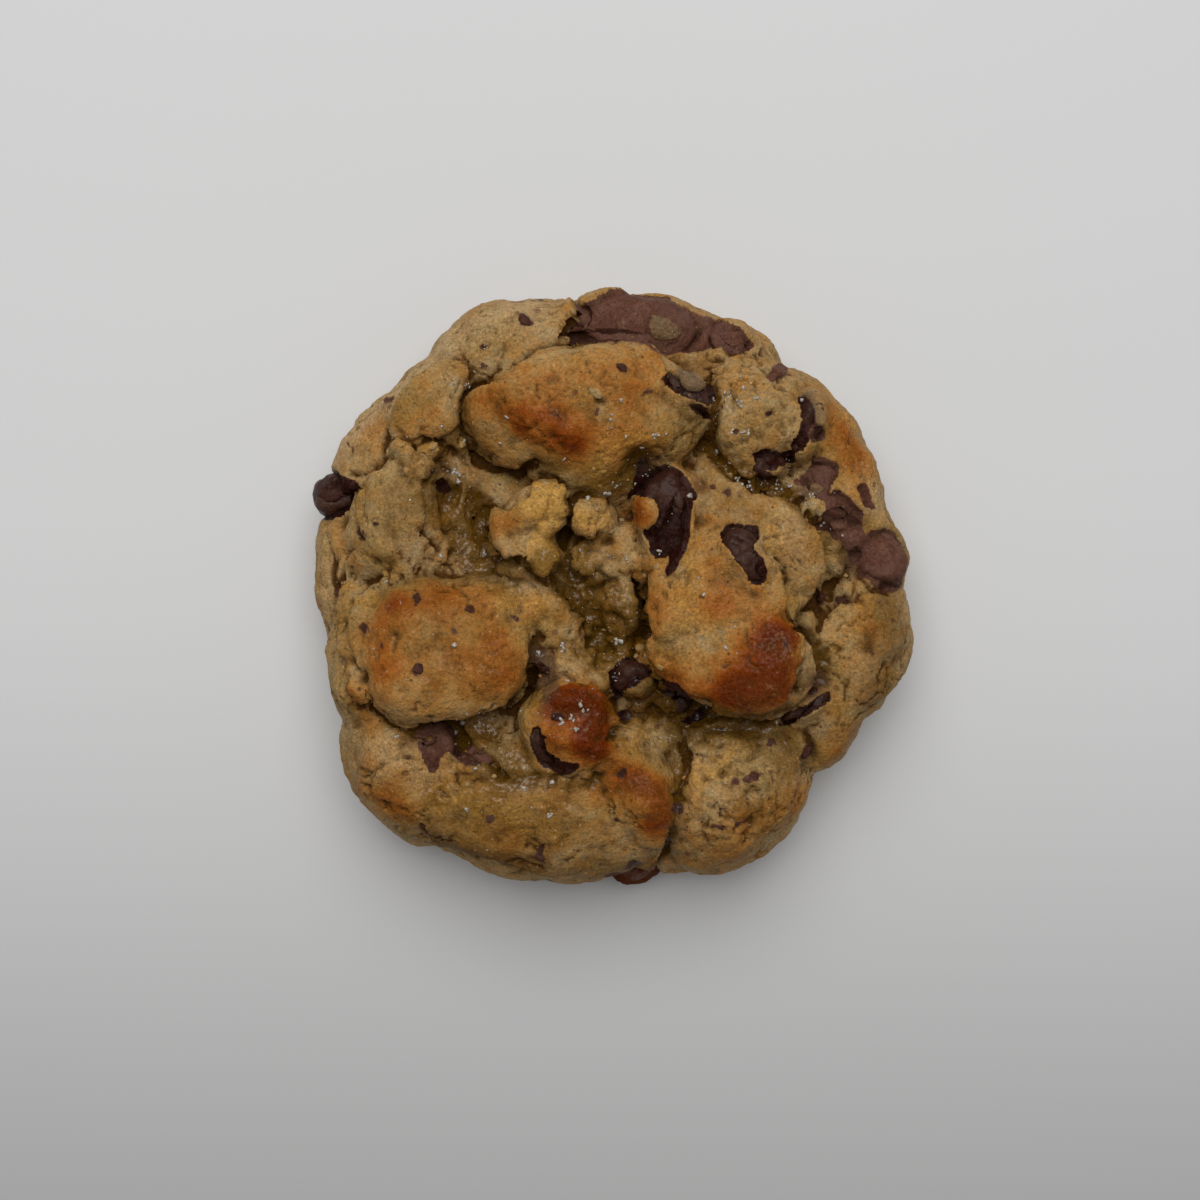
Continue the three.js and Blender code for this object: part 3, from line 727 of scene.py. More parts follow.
# %% Relief of the crust
TORN = [
    # reach, pixels: torn, crumbly dough
    (6.0, [(590, 560), (615, 600), (600, 650), (620, 670)]),
    (6.0, [(450, 470), (450, 520), (470, 560), (500, 575)]),
    (4.0, [(642, 600), (650, 630), (640, 655), (668, 680)]),
    (5.0, [(400, 446), (436, 446), (414, 480)]),
    (5.0, [(740, 400), (760, 430), (790, 420), (730, 440)]),
    (4.0, [(790, 480), (820, 520), (850, 590)]),
    (4.0, [(530, 690), (556, 676), (600, 690)]),
    (4.0, [(400, 740), (480, 770), (540, 782), (600, 780)]),
    (4.0, [(566, 300), (572, 330)]),
    (3.0, [(326, 516), (336, 560)]),
    (7.0, [(690, 740), (740, 760), (700, 790), (760, 810), (700, 830)]),
    (5.0, [(540, 640), (560, 650), (590, 640)]),
    (5.0, [(640, 700), (660, 712), (700, 716)]),
]

WAVES = [
    # height and length in mm, octaves, seed: undulations, small lumps and the finest roughness
    (0.62, 6, 2, 1), (0.24, 2.4, 3, 2), (0.09, 1.1, 3, 3),
]
FOLD_DEPTH = 0.55  # mm that the thin folds go in
FOLD_WIDTH = 0.10  # how near zero the noise of the folds is inside one
CRAG_HEIGHT = 1.1  # mm, of the lumps where the dough is torn
CRAG_SIZE = 2.2 * MM
SPLINTERS = 0.45  # mm, of the rougher relief on them
DEEPEST_BESIDE = 0.05  # mm that relief may cut in beside chocolate, so that nothing is laid bare

edges = read_edges(crust)
outward = read_normals(crust)
torn = np.clip(sum(closeness(points, trail(ground, pixels), reach * MM) for reach, pixels in TORN), 0, 1)
up = ramp(points[:, 2], 0.3 * MM, 3 * MM)
relief = np.zeros(len(points))
for height, length, octaves, seed in WAVES:
    relief += height * fractal(points, length * MM, octaves, seed)
folds = np.abs(fractal(points, 5 * MM, 3, seed=9))
folded = ramp(fractal(points, 9 * MM, 2, seed=10), -0.1, 0.35)
relief -= FOLD_DEPTH * (1 - ramp(folds, 0, FOLD_WIDTH)) * folded
crag = 0.5 - 1.3 * cells(points, CRAG_SIZE, seed=5) ** 2
relief += torn * (CRAG_HEIGHT * crag + SPLINTERS * fractal(points, 1.7 * MM, 3, seed=6))
relief *= up * (1 - bare) * (1 - 0.5 * ramp(melt, 0, 0.4))
relief = np.where((near > 0) & (bare < 0.5), np.maximum(relief, -DEEPEST_BESIDE), relief)
points += outward * (relief * MM)[:, None]
points[:, 2] = np.maximum(points[:, 2], 0)
write_points(crust, points)
print("relief from", round(relief.min(), 2), "to", round(relief.max(), 2), "mm")

# %% [markdown]
# ## Browned places
# The heat of an oven browns what stands proud and what touches the tray. Noise could choose the places, but
# on a real cookie they follow its lumps, so they are read off the photograph as lines with a reach, as an
# airbrush would lay them. Weak broad ones come first and stronger small ones lie over them, because one
# strong spot would look like a stain.

# %% Where the dough is browned
BASE_BROWNING = 0.3  # where the cookie touched the tray
PROUD_BROWNING = 0.12  # for each millimetre that a point stands proud
BROWNED = [
    # strength, reach, pixels: first the broad golden tops
    (0.30, 10.0, [(500, 400), (560, 390), (620, 380), (640, 420), (570, 440)]),
    (0.28, 9.0, [(390, 610), (400, 660), (440, 680), (490, 660), (500, 620), (450, 600)]),
    (0.30, 9.0, [(660, 600), (700, 600), (740, 600), (770, 640), (740, 690), (690, 680)]),
    (0.18, 10.0, [(400, 800), (450, 800), (500, 810), (560, 820), (620, 830)]),
    (0.20, 6.0, [(496, 530), (520, 530), (545, 500)]),
    (0.20, 6.0, [(740, 520), (790, 520), (800, 560)]),
    # then the browned places
    (0.42, 5.0, [(524, 418), (545, 415), (560, 424), (576, 434)]),
    (0.42, 3.0, [(522, 430), (545, 441), (572, 448)]),
    (0.14, 8.0, [(490, 405), (540, 420), (600, 435), (650, 455)]),
    (0.25, 7.0, [(590, 600), (610, 640), (600, 660)]),
    (0.20, 7.0, [(450, 500), (470, 540)]),
    (0.45, 4.5, [(644, 780), (660, 790), (664, 812)]),
    (0.15, 9.0, [(440, 640), (470, 650)]),
    (0.20, 4.5, [(476, 406), (496, 404)]),
    (0.15, 3.6, [(518, 412), (545, 420), (566, 432)]),
    (0.12, 4.5, [(470, 432), (486, 446), (510, 456)]),
    (0.20, 6.0, [(560, 380), (610, 368), (650, 366)]),
    (0.30, 5.0, [(580, 460), (600, 470), (640, 450)]),
    (0.50, 7.0, [(384, 610), (378, 640), (384, 666)]),
    (0.45, 6.0, [(404, 600), (440, 592), (480, 596)]),
    (0.45, 5.0, [(500, 640), (510, 660), (512, 680)]),
    (0.45, 3.2, [(532, 612), (538, 600)]),
    (0.25, 6.0, [(470, 680), (505, 690)]),
    (0.74, 8.0, [(744, 690), (764, 676), (776, 650)]),
    (0.50, 5.0, [(786, 640), (790, 664), (776, 688)]),
    (0.35, 4.5, [(734, 702), (758, 706), (778, 692)]),
    (0.35, 7.0, [(700, 694), (720, 692), (760, 640), (774, 620)]),
    (0.60, 4.0, [(642, 648), (652, 662), (668, 676)]),
    (0.45, 4.0, [(646, 572), (658, 566)]),
    (0.35, 5.0, [(716, 576), (736, 590), (712, 606)]),
    (0.30, 5.0, [(700, 540), (710, 530)]),
    (0.30, 4.0, [(646, 600), (654, 626)]),
    (1.50, 6.0, [(572, 700), (598, 708), (598, 728)]),
    (0.80, 5.5, [(548, 712), (556, 738), (566, 748), (586, 752)]),
    (0.40, 5.0, [(590, 744), (612, 760), (628, 764)]),
    (0.66, 7.0, [(612, 784), (640, 792), (660, 812)]),
    (0.15, 4.0, [(630, 786), (656, 790)]),
    (0.50, 4.5, [(650, 830), (662, 838)]),
    (0.45, 3.0, [(496, 522), (508, 520)]),
    (0.30, 3.0, [(584, 524), (588, 534)]),
    (0.95, 3.0, [(640, 504), (644, 518), (632, 516)]),
    (0.50, 5.0, [(384, 800), (400, 812)]),
    (0.30, 5.0, [(352, 690), (370, 700), (366, 760)]),
    (0.50, 6.0, [(836, 436), (856, 452)]),
    (0.30, 7.0, [(820, 390), (850, 420), (856, 470)]),
    (0.30, 6.0, [(430, 400), (420, 424)]),
    (0.20, 8.0, [(440, 800), (480, 830), (540, 800)]),
    (0.30, 5.0, [(506, 846), (512, 838)]),
    (0.25, 5.0, [(860, 610), (874, 630)]),
    (0.25, 5.0, [(834, 750), (850, 734)]),
    (0.25, 5.0, [(370, 430), (384, 410)]),
    (0.35, 6.0, [(800, 795), (720, 848), (740, 840)]),
    (0.16, 6.0, [(345, 600), (350, 640)]),
    (0.14, 7.0, [(856, 676), (836, 730)]),
]
print("browned places:", len(BROWNED))

# %% [markdown]
# ## Pale and golden places
# Dough that lay low or in the shelter of a lump stayed soft and pale, and buttery crumbs turned golden
# without browning. Both are painted in the same way as the browning, each as a map of its own, so that the
# finish can give each its own colour.

# %% Where it stayed pale or turned golden
PALE = [
    (1.0, 7.0, [(330, 460), (350, 436), (388, 396), (420, 370)]),
    (0.4, 6.0, [(322, 545), (330, 600), (336, 660), (340, 720)]),
    (0.8, 8.0, [(440, 345), (490, 320), (540, 300)]),
    (0.3, 8.0, [(400, 460), (385, 500), (400, 550), (440, 568)]),
    (0.25, 7.0, [(685, 362), (720, 380), (740, 410), (780, 430)]),
    (0.25, 6.0, [(760, 340), (800, 370), (840, 420)]),
    (0.8, 5.0, [(800, 515), (790, 548)]),
    (0.9, 3.0, [(804, 656), (812, 680)]),
    (0.7, 6.0, [(862, 470), (880, 500)]),
    (0.4, 8.0, [(700, 750), (740, 760), (780, 760), (720, 800)]),
    (0.4, 6.0, [(360, 760), (375, 785)]),
    (0.3, 5.0, [(322, 570), (326, 610)]),
    (0.7, 5.0, [(535, 500), (560, 500), (540, 545)]),
    (0.4, 4.0, [(580, 515), (600, 520)]),
    (0.6, 4.0, [(586, 512), (596, 516)]),
    (0.3, 7.0, [(840, 620), (870, 660), (850, 700), (830, 730)]),
    (0.6, 6.0, [(350, 735), (385, 745), (420, 775)]),
    (0.5, 3.0, [(644, 738), (655, 752)]),
    (0.4, 7.0, [(700, 590), (690, 640)]),
    (0.5, 5.0, [(500, 580), (540, 590)]),
    (0.5, 5.0, [(560, 665), (575, 670)]),
    (0.4, 6.0, [(500, 790), (560, 800)]),
]
GOLD = [
    (1.2, 4.5, [(535, 500), (556, 496), (548, 530), (540, 560)]),
    (0.9, 3.6, [(580, 515), (600, 520)]),
    (0.8, 3.0, [(562, 558), (584, 560)]),
    (0.4, 6.0, [(690, 570), (680, 600), (700, 630)]),
    (0.3, 4.0, [(740, 380), (750, 392), (720, 430)]),
    (0.5, 7.0, [(500, 812), (540, 820), (440, 800)]),
    (0.2, 5.0, [(440, 640), (470, 680)]),
    (0.3, 4.0, [(780, 515), (770, 545)]),
    (0.6, 4.0, [(712, 732), (735, 745), (700, 780)]),
    (0.3, 5.0, [(860, 610), (850, 640)]),
    (0.6, 4.0, [(850, 340), (820, 380), (850, 420)]),
    (0.6, 4.0, [(640, 440), (610, 450), (590, 480)]),
    (0.6, 3.0, [(440, 445), (404, 446), (460, 445)]),
    (0.6, 2.5, [(646, 572), (658, 568)]),
    (0.5, 4.0, [(620, 725), (640, 735)]),
    (0.5, 4.0, [(500, 600), (540, 600)]),
    (0.4, 5.0, [(370, 600), (350, 590)]),
    (0.5, 3.0, [(800, 650), (812, 670)]),
]
print("pale and golden places:", len(PALE) + len(GOLD))

# %% [markdown]
# ## Butter, cocoa, films and shade
# Melted butter gathers in the hollows and makes them dark and shiny. Chocolate rubs off on the dough beside
# it, and where it lies under a thin film of dough it shows through. The light of the scene shades the narrow
# creases a little, but on the real cookie they are darker than that, so shade is painted into them too.
# Painted shade also darkens the near rim, the right rim and a few broad patches on top.

# %% Where it is wet, rubbed with cocoa, thin or shaded
WET = [
    (1.0, 6.0, [(470, 506), (480, 520), (478, 545)]),
    (0.8, 9.0, [(430, 480), (460, 520), (500, 575)]),
    (1.0, 6.0, [(572, 586), (600, 616), (612, 640)]),
    (0.9, 9.0, [(560, 560), (610, 600), (630, 640), (600, 660), (690, 706)]),
    (0.9, 5.0, [(630, 476), (644, 464)]),
    (0.7, 4.0, [(530, 460), (548, 470)]),
    (1.0, 3.4, [(712, 452), (730, 472), (752, 480), (780, 486), (796, 500)]),
    (0.6, 3.4, [(796, 500), (820, 530), (850, 560), (830, 590)]),
    (0.9, 5.0, [(440, 728), (480, 744), (504, 776)]),
    (0.6, 4.0, [(532, 650), (538, 680), (536, 700)]),
    (0.9, 4.5, [(690, 712), (730, 716), (780, 722)]),
    (0.9, 3.4, [(798, 618), (816, 650), (822, 668)]),
    (0.6, 7.0, [(610, 485), (560, 470)]),
    (0.5, 6.0, [(470, 718), (500, 740), (520, 760)]),
    (0.7, 3.0, [(452, 440), (462, 426), (466, 400)]),
    (0.6, 3.0, [(390, 720), (410, 735)]),
    (0.7, 3.0, [(676, 740), (676, 800), (668, 850)]),
    (0.6, 3.0, [(560, 575), (552, 560), (510, 562)]),
    (0.6, 3.0, [(706, 380), (714, 400), (714, 440)]),
    (0.5, 3.0, [(520, 776), (598, 780)]),
    (0.6, 4.0, [(612, 700), (616, 735)]),
    (0.70, 9.0, [(430, 806), (500, 816), (570, 826)]),
    (0.35, 6.0, [(430, 675), (480, 685), (500, 660)]),
    (0.50, 8.0, [(700, 735), (770, 740), (790, 770), (760, 800)]),
]
COCOA = [
    (0.6, 4.0, [(440, 474), (452, 490)]),
    (0.5, 2.6, [(776, 384), (790, 396)]),
    (0.6, 3.0, [(782, 462), (792, 470)]),
    (0.5, 4.0, [(830, 500), (856, 520), (850, 560)]),
    (0.5, 3.0, [(846, 570), (862, 580)]),
    (0.5, 2.6, [(696, 486), (700, 504)]),
    (0.4, 4.0, [(388, 688), (420, 690), (430, 700)]),
    (0.5, 3.0, [(530, 856), (548, 862)]),
    (0.5, 3.0, [(545, 660), (540, 684)]),
    (0.6, 2.6, [(546, 700), (556, 696)]),
    (0.7, 4.0, [(536, 655), (548, 672), (556, 688)]),
    (0.5, 3.0, [(806, 740), (810, 758)]),
    (0.5, 4.0, [(816, 598), (830, 592), (846, 600)]),
    (0.5, 4.0, [(420, 738), (404, 745)]),
    (0.4, 3.0, [(484, 346), (488, 362)]),
    (0.3, 4.0, [(340, 560), (334, 590)]),
    (0.6, 4.0, [(812, 672), (822, 684), (812, 696)]),
    (0.4, 3.0, [(455, 380), (468, 392)]),
    (0.4, 2.5, [(470, 708), (486, 714)]),
    (0.3, 3.0, [(740, 480), (700, 475)]),
]
VEILED = [
    (0.9, 3.0, [(684, 372), (692, 380), (700, 388)]),
    (1.0, 2.4, [(808, 394), (814, 412), (812, 432)]),
    (0.6, 2.2, [(776, 456), (792, 458)]),
    (0.4, 3.0, [(650, 468), (668, 468), (684, 478)]),
    (0.4, 2.6, [(806, 470), (826, 478)]),
    (0.5, 2.6, [(796, 716), (824, 700)]),
    (0.4, 2.4, [(690, 314), (720, 330)]),
    (0.5, 2.0, [(424, 740), (448, 742)]),
    (0.4, 2.4, [(862, 548), (850, 550)]),
    (0.5, 2.4, [(688, 394), (704, 412)]),
    (0.4, 2.0, [(548, 700), (540, 716)]),
]
# painted shade: in narrow creases, under ledges, and broadly on the near and right rims; strength, reach,
# pixels
SHADED = [
    (0.60, 7.0, [(888, 600), (892, 640), (872, 700)]),
    (0.35, 8.0, [(700, 850), (740, 852), (780, 820)]),
    (0.55, 6.0, [(640, 862), (600, 872), (540, 866), (480, 854), (430, 834)]),
    (0.30, 6.0, [(346, 716), (360, 780), (400, 830)]),
    (0.30, 5.0, [(735, 500), (745, 520)]),
    (0.30, 6.0, [(820, 735), (845, 745)]),
    (0.25, 7.0, [(440, 640), (400, 500)]),
    (0.20, 6.0, [(345, 590), (350, 640)]),
    (0.10, 6.0, [(760, 400), (740, 440)]),
    (0.45, 3.0, [(430, 838), (470, 852), (540, 868)]),
    (0.9, 1.8, [(484, 516), (485, 548), (500, 561), (530, 564), (540, 577)]),
    (0.9, 1.6, [(567, 500), (570, 520), (560, 545)]),
    (0.8, 1.6, [(574, 533), (585, 543), (600, 536)]),
    (0.9, 2.0, [(548, 580), (566, 596), (580, 606), (592, 620)]),
    (0.9, 2.2, [(612, 612), (622, 622), (630, 640)]),
    (0.9, 2.0, [(590, 640), (612, 650)]),
    (1.0, 4.0, [(636, 698), (660, 710), (694, 715)]),
    (0.8, 2.4, [(800, 690), (820, 676), (824, 660)]),
    (1.0, 1.8, [(640, 600), (644, 622), (634, 640), (640, 664)]),
    (1.2, 1.6, [(712, 454), (724, 470), (740, 480), (756, 486), (782, 489), (800, 502)]),
    (1.2, 1.4, [(532, 640), (530, 664), (530, 690)]),
    (1.2, 1.6, [(660, 684), (684, 694), (706, 710), (760, 717), (790, 708)]),
    (1.0, 1.4, [(816, 600), (800, 616), (812, 636), (820, 660)]),
    (0.8, 1.4, [(466, 396), (464, 420), (466, 440), (480, 460)]),
    (0.8, 1.2, [(571, 345), (566, 330), (578, 314)]),
    (0.9, 1.4, [(416, 735), (466, 742), (500, 772)]),
    (0.8, 1.2, [(346, 690), (360, 706), (384, 714), (400, 730)]),
    (0.8, 1.3, [(674, 800), (672, 830), (660, 858), (646, 872)]),
    (0.7, 1.3, [(706, 376), (715, 400), (715, 425), (708, 447)]),
    (0.7, 1.2, [(610, 690), (616, 712), (613, 736)]),
    (0.50, 4.0, [(470, 500), (480, 545)]),
    (0.60, 4.5, [(580, 596), (604, 624), (610, 650)]),
    (0.60, 4.0, [(660, 696), (700, 714), (760, 722)]),
    (0.60, 3.0, [(712, 456), (740, 478), (790, 492), (812, 520)]),
    (0.60, 3.0, [(824, 540), (850, 560), (836, 584), (816, 604)]),
    (0.60, 4.0, [(430, 730), (470, 756), (500, 776)]),
    (0.50, 3.0, [(676, 730), (680, 780), (672, 850)]),
    (0.40, 3.0, [(500, 778), (600, 780)]),
    (0.50, 3.0, [(466, 396), (466, 440), (490, 464)]),
]
print("wet, rubbed, thin and shaded places:", sum(map(len, (WET, COCOA, VEILED, SHADED))))

# %% [markdown]
# ## What each point stores
# The finish reads these maps as numbers stored at each point. They are attributes of the mesh and not
# projections, so the patterns stay where they are from every side. Crease is painted shade: besides the shade
# painted into it, it darkens a point the deeper it lies between its neighbours, near or far. That depth is
# measured against the same skin smoothed a little, more and a lot.

# %% Store the maps
PIT_SMOOTHING = 6  # rounds that show the fine hollows
DIP_SMOOTHING = 40  # rounds that show the creases
BASIN_SMOOTHING = 260  # further rounds that show the broad hollows


def painted(points, surface, spots):
    """How strongly each point is painted, from all spots together."""
    total = np.zeros(len(points))
    for strength, reach, pixels in spots:
        total += strength * closeness(points, trail(surface, pixels), reach * MM)
    return total


def store(mesh, name, values):
    """Writes one number per point as an attribute that materials can read."""
    attribute = mesh.attributes.new(name, "FLOAT", "POINT")
    attribute.data.foreach_set("value", np.asarray(values, dtype=np.float32))


def height_over(smoother):
    """How far in mm each point of the crust stands out of a smoother one."""
    return ((points - smoother) * outward).sum(axis=1) / MM


outward = read_normals(crust)
broad = averaged(points, edges, DIP_SMOOTHING)
proud = height_over(broad)
browning = painted(points, ground, BROWNED) + PROUD_BROWNING * np.clip(proud, -1, 1.5)
browning += BASE_BROWNING * (1 - ramp(points[:, 2], 0, 4 * MM))
store(crust, "browning", np.clip(browning, 0, 1.3))
store(crust, "wet", np.clip(painted(points, ground, WET), 0, 1))
veil = np.clip(painted(points, ground, VEILED) + ramp(film, -0.4, 0.3), 0, 1)
store(crust, "veil", veil * (1 - ramp(bare, 0.2, 0.5)))
store(crust, "gold", np.clip(painted(points, ground, GOLD), 0, 1))
store(crust, "pale", np.clip(painted(points, ground, PALE) - 0.6 * browning, 0, 1))
store(crust, "cocoa", np.clip(painted(points, ground, COCOA), 0, 1))
sunken = height_over(averaged(broad, edges, BASIN_SMOOTHING))
pitted = height_over(averaged(points, edges, PIT_SMOOTHING))
# painted shade: the deeper a point lies in a pit, a crease or a broad hollow, the darker it is
crease = np.clip(-0.9 * proud, 0, 1.2) + np.clip(-3.5 * pitted - 0.02, 0, 0.6)
crease += np.clip(-0.16 * sunken, 0, 0.5)
store(crust, "crease", crease + painted(points, ground, SHADED))
store(crust, "melt", 0.5 + 0.5 * np.clip(np.maximum(melt, 3 * bare - 1), -1, 1))
store(crust, "darkness", darkness)
print("browned points:", int((browning > 0.5).sum()))

# %% [markdown]
# ## Materials as recipes
# A material is a small network of nodes. Writing each node takes several lines, so helpers do it: the first
# adds any node and wires its inputs, and the others use it for arithmetic, masks, colours, noise and bumps.
# Effects that several finishes share, such as the chocolate marks, are node groups with named inputs, built
# once.


# %% Helpers for nodes
def add(tree, kind, inputs=None, **settings):
    """Adds a node; an input is either a number or colour, or the output of another node."""
    node = tree.nodes.new(kind)
    for name, value in settings.items():
        setattr(node, name, value)
    for name, value in (inputs or {}).items():
        if isinstance(value, bpy.types.NodeSocket):
            tree.links.new(value, node.inputs[name])
        else:
            node.inputs[name].default_value = value
    return node


def maths(tree, operation, *values):
    """The output of one sum, clamped where the operation's name ends in a plus sign."""
    settings = {"operation": operation.rstrip("+"), "use_clamp": operation.endswith("+")}
    return add(tree, "ShaderNodeMath", dict(enumerate(values)), **settings).outputs[0]


def between(tree, value, low, high):
    """0 below low and 1 above high, with a smooth step between."""
    inputs = {"Value": value, "From Min": low, "From Max": high}
    return add(tree, "ShaderNodeMapRange", inputs, interpolation_type="SMOOTHSTEP").outputs["Result"]


def blend(tree, share, first, second):
    """Two colours mixed by a share."""
    return add(tree, "ShaderNodeMix", {0: share, 6: first, 7: second}, data_type="RGBA").outputs[2]


def coat(tree, under, mask, strength, colour):
    """A colour laid over another where a mask is, as strongly as a number says."""
    return blend(tree, maths(tree, "MULTIPLY", mask, strength), under, colour)


def brightened(tree, colour, value):
    """A colour made lighter or darker by a value about 1."""
    return add(tree, "ShaderNodeHueSaturation", {"Value": value, "Color": colour}).outputs["Color"]


def tones(tree, value, stops):
    """A colour from a scale of colours, each at its own position from 0 to 1."""
    node = add(tree, "ShaderNodeValToRGB", {"Fac": value})
    scale = node.color_ramp
    while len(scale.elements) < len(stops):
        scale.elements.new(1.0)
    for element, (position, colour) in zip(scale.elements, stops):
        element.position = position
        element.color = (*colour, 1)
    return node.outputs["Color"]


def clouds(tree, place, size, detail=4.0, roughness=0.55):
    """Noise with lumps of a given size in metres."""
    inputs = {"Vector": place, "Scale": 1 / size, "Detail": detail, "Roughness": roughness}
    return add(tree, "ShaderNodeTexNoise", inputs).outputs["Fac"]


def bumps(tree, shader, height, strength, depth):
    """Bumps on a shader from a height, with their strength and their depth in metres."""
    bump = add(tree, "ShaderNodeBump", {"Height": height, "Strength": strength, "Distance": depth})
    tree.links.new(bump.outputs["Normal"], shader.inputs["Normal"])


def new_material(name):
    """A material with an empty Principled shader, and the place that its patterns are read at."""
    material = bpy.data.materials.new(name)
    material.use_nodes = True
    tree = material.node_tree
    shader = tree.nodes["Principled BSDF"]
    place = add(tree, "ShaderNodeTexCoord").outputs["Object"]
    return material, tree, shader, place


def new_group(name, inputs, outputs):
    """A node group with named number inputs and outputs, and its two end nodes."""
    tree = bpy.data.node_groups.new(name, "ShaderNodeTree")
    for label, kind in inputs:
        tree.interface.new_socket(name=label, in_out="INPUT", socket_type=kind)
    for label, kind in outputs:
        tree.interface.new_socket(name=label, in_out="OUTPUT", socket_type=kind)
    return tree, add(tree, "NodeGroupInput"), add(tree, "NodeGroupOutput")


def use_group(tree, group, inputs):
    """Places a node group in a material."""
    return add(tree, "ShaderNodeGroup", inputs, node_tree=group).outputs


# %% [markdown]
# ## Three effects
# Sandy grain is the small bumps of the dough, with tiny pits between them. Flecks are specks of about one
# size, strewn at random, such as the dark ones that broken chocolate leaves all over the dough. Chocolate
# marks are the bloom, the crumbs and the waves that both kinds of chocolate have. Each is a group that puts
# out plain values, which the materials use for colour and height.

# %% Node group: sandy grain
FLOAT = "NodeSocketFloat"
VECTOR = "NodeSocketVector"
grain, ends, out = new_group(
    "sandy grain", [("Place", VECTOR), ("Size", FLOAT)], [("Height", FLOAT), ("Pits", FLOAT)]
)
scale = maths(grain, "DIVIDE", 1.0, ends.outputs["Size"])
inputs = {"Vector": ends.outputs["Place"], "Scale": maths(grain, "MULTIPLY", scale, 0.55), "Detail": 3.0,
          "Roughness": 0.68}
sand = add(grain, "ShaderNodeTexNoise", inputs).outputs["Fac"]
grains = add(grain, "ShaderNodeTexVoronoi", {"Vector": ends.outputs["Place"], "Scale": scale})
pits = between(grain, sand, 0.38, 0.31)
height = maths(grain, "MULTIPLY_ADD", sand, 2.4, maths(grain, "MULTIPLY", grains.outputs["Distance"], -0.5))
height = maths(grain, "MULTIPLY_ADD", pits, -0.7, height)
grain.links.new(height, out.inputs["Height"])
grain.links.new(pits, out.inputs["Pits"])
print("group:", grain.name)

# %% Node group: flecks
flecks, ends, out = new_group(
    "flecks", [("Place", VECTOR), ("Size", FLOAT), ("Share", FLOAT)], [("Mask", FLOAT)]
)
scale = maths(flecks, "DIVIDE", 1.0, ends.outputs["Size"])
seeds = add(flecks, "ShaderNodeTexVoronoi", {"Vector": ends.outputs["Place"], "Scale": scale})
drawn = add(flecks, "ShaderNodeSeparateColor", {"Color": seeds.outputs["Color"]}).outputs["Red"]
chosen = maths(flecks, "LESS_THAN", drawn, ends.outputs["Share"])
uneven = clouds(flecks, ends.outputs["Place"], 0.0007, detail=1)
spread = maths(flecks, "ADD", seeds.outputs["Distance"], maths(flecks, "MULTIPLY", uneven, 0.25))
mask = maths(flecks, "MULTIPLY", chosen, between(flecks, spread, 0.34, 0.26))
flecks.links.new(mask, out.inputs["Mask"])
print("group:", flecks.name)

# %% Node group: chocolate marks
marks, ends, out = new_group(
    "chocolate marks", [("Place", VECTOR)], [("Bloom", FLOAT), ("Crumbs", FLOAT), ("Height", FLOAT)]
)
place = ends.outputs["Place"]
patches = clouds(marks, place, 0.0032, detail=4, roughness=0.65)
marks.links.new(between(marks, patches, 0.42, 0.68), out.inputs["Bloom"])
crumbs = use_group(marks, flecks, {"Place": place, "Size": 0.0017, "Share": 0.14})["Mask"]
marks.links.new(crumbs, out.inputs["Crumbs"])
waves = clouds(marks, place, 0.0016, detail=4, roughness=0.6)
marks.links.new(maths(marks, "MULTIPLY", waves, 2.6), out.inputs["Height"])
print("group:", marks.name)

# %% [markdown]
# ## Finish of the dough
# The tone of baked dough runs from a pale, slightly olive tan where it stayed soft, through gold, to a deep
# red brown where it caught the heat. One scale of colours holds that run, and the stored browning, shaken by
# noise at two sizes, picks the place on it. Over it go thin coats, each with a mask and a colour. The colours
# come first. A shader takes them in linear light, so their numbers look darker than the colours do.

# %% Colours of chocolate and dough
MILK = (0.122, 0.049, 0.030, 1)
MILK_BLOOM = (0.160, 0.077, 0.050, 1)
DARK = (0.024, 0.005, 0.003, 1)
DARK_BLOOM = (0.075, 0.032, 0.022, 1)
CRUMB = (0.30, 0.18, 0.07, 1)
VEIL = (0.142, 0.088, 0.054, 1)  # dough so thin that the chocolate shows through
BAKED = [
    # place on the scale of browning, colour
    (0.00, (0.420, 0.285, 0.130)),
    (0.18, (0.400, 0.228, 0.080)),
    (0.36, (0.400, 0.184, 0.044)),
    (0.56, (0.345, 0.112, 0.016)),
    (0.76, (0.225, 0.045, 0.003)),
    (1.00, (0.105, 0.014, 0.001)),
]
OLIVE = (0.250, 0.155, 0.034, 1)  # broad dull patches in the soft dough
SOFT = (0.520, 0.348, 0.172, 1)  # the palest dough
GOLDEN = (0.540, 0.285, 0.060, 1)
# painted shade in the tiny pits of the grain
SHADE_IN_PITS = (0.13, 0.05, 0.010, 1)
# painted shade in the creases and hollows
SHADE_IN_CREASES = (0.075, 0.030, 0.005, 1)
BUTTERY = (0.115, 0.055, 0.004, 1)
FLECK = (0.105, 0.028, 0.011, 1)
SUGAR = (0.70, 0.52, 0.30, 1)
RUBBED = (0.080, 0.040, 0.022, 1)  # dough with chocolate rubbed in
CHOCOLATE_IN_SHADE = (0.014, 0.005, 0.003, 1)  # painted shade on chocolate deep in a crease
print("tones of the dough:", len(BAKED))

# %% Dough material: colour
PATCHES = [
    # length in metres, detail and roughness of the noise: mottle, blotches and speckle
    (0.0048, 3, 0.6), (0.0016, 3, 0.7), (0.0006, 2, 0.7),
]
GRAIN_SIZE = 0.0007  # metres
TONE_START = 0.14  # place on the scale of browning where nothing is browned
TONE_SPAN = 0.62  # how far full browning moves it
CALMING = -0.6  # how much of the unevenness full browning takes away

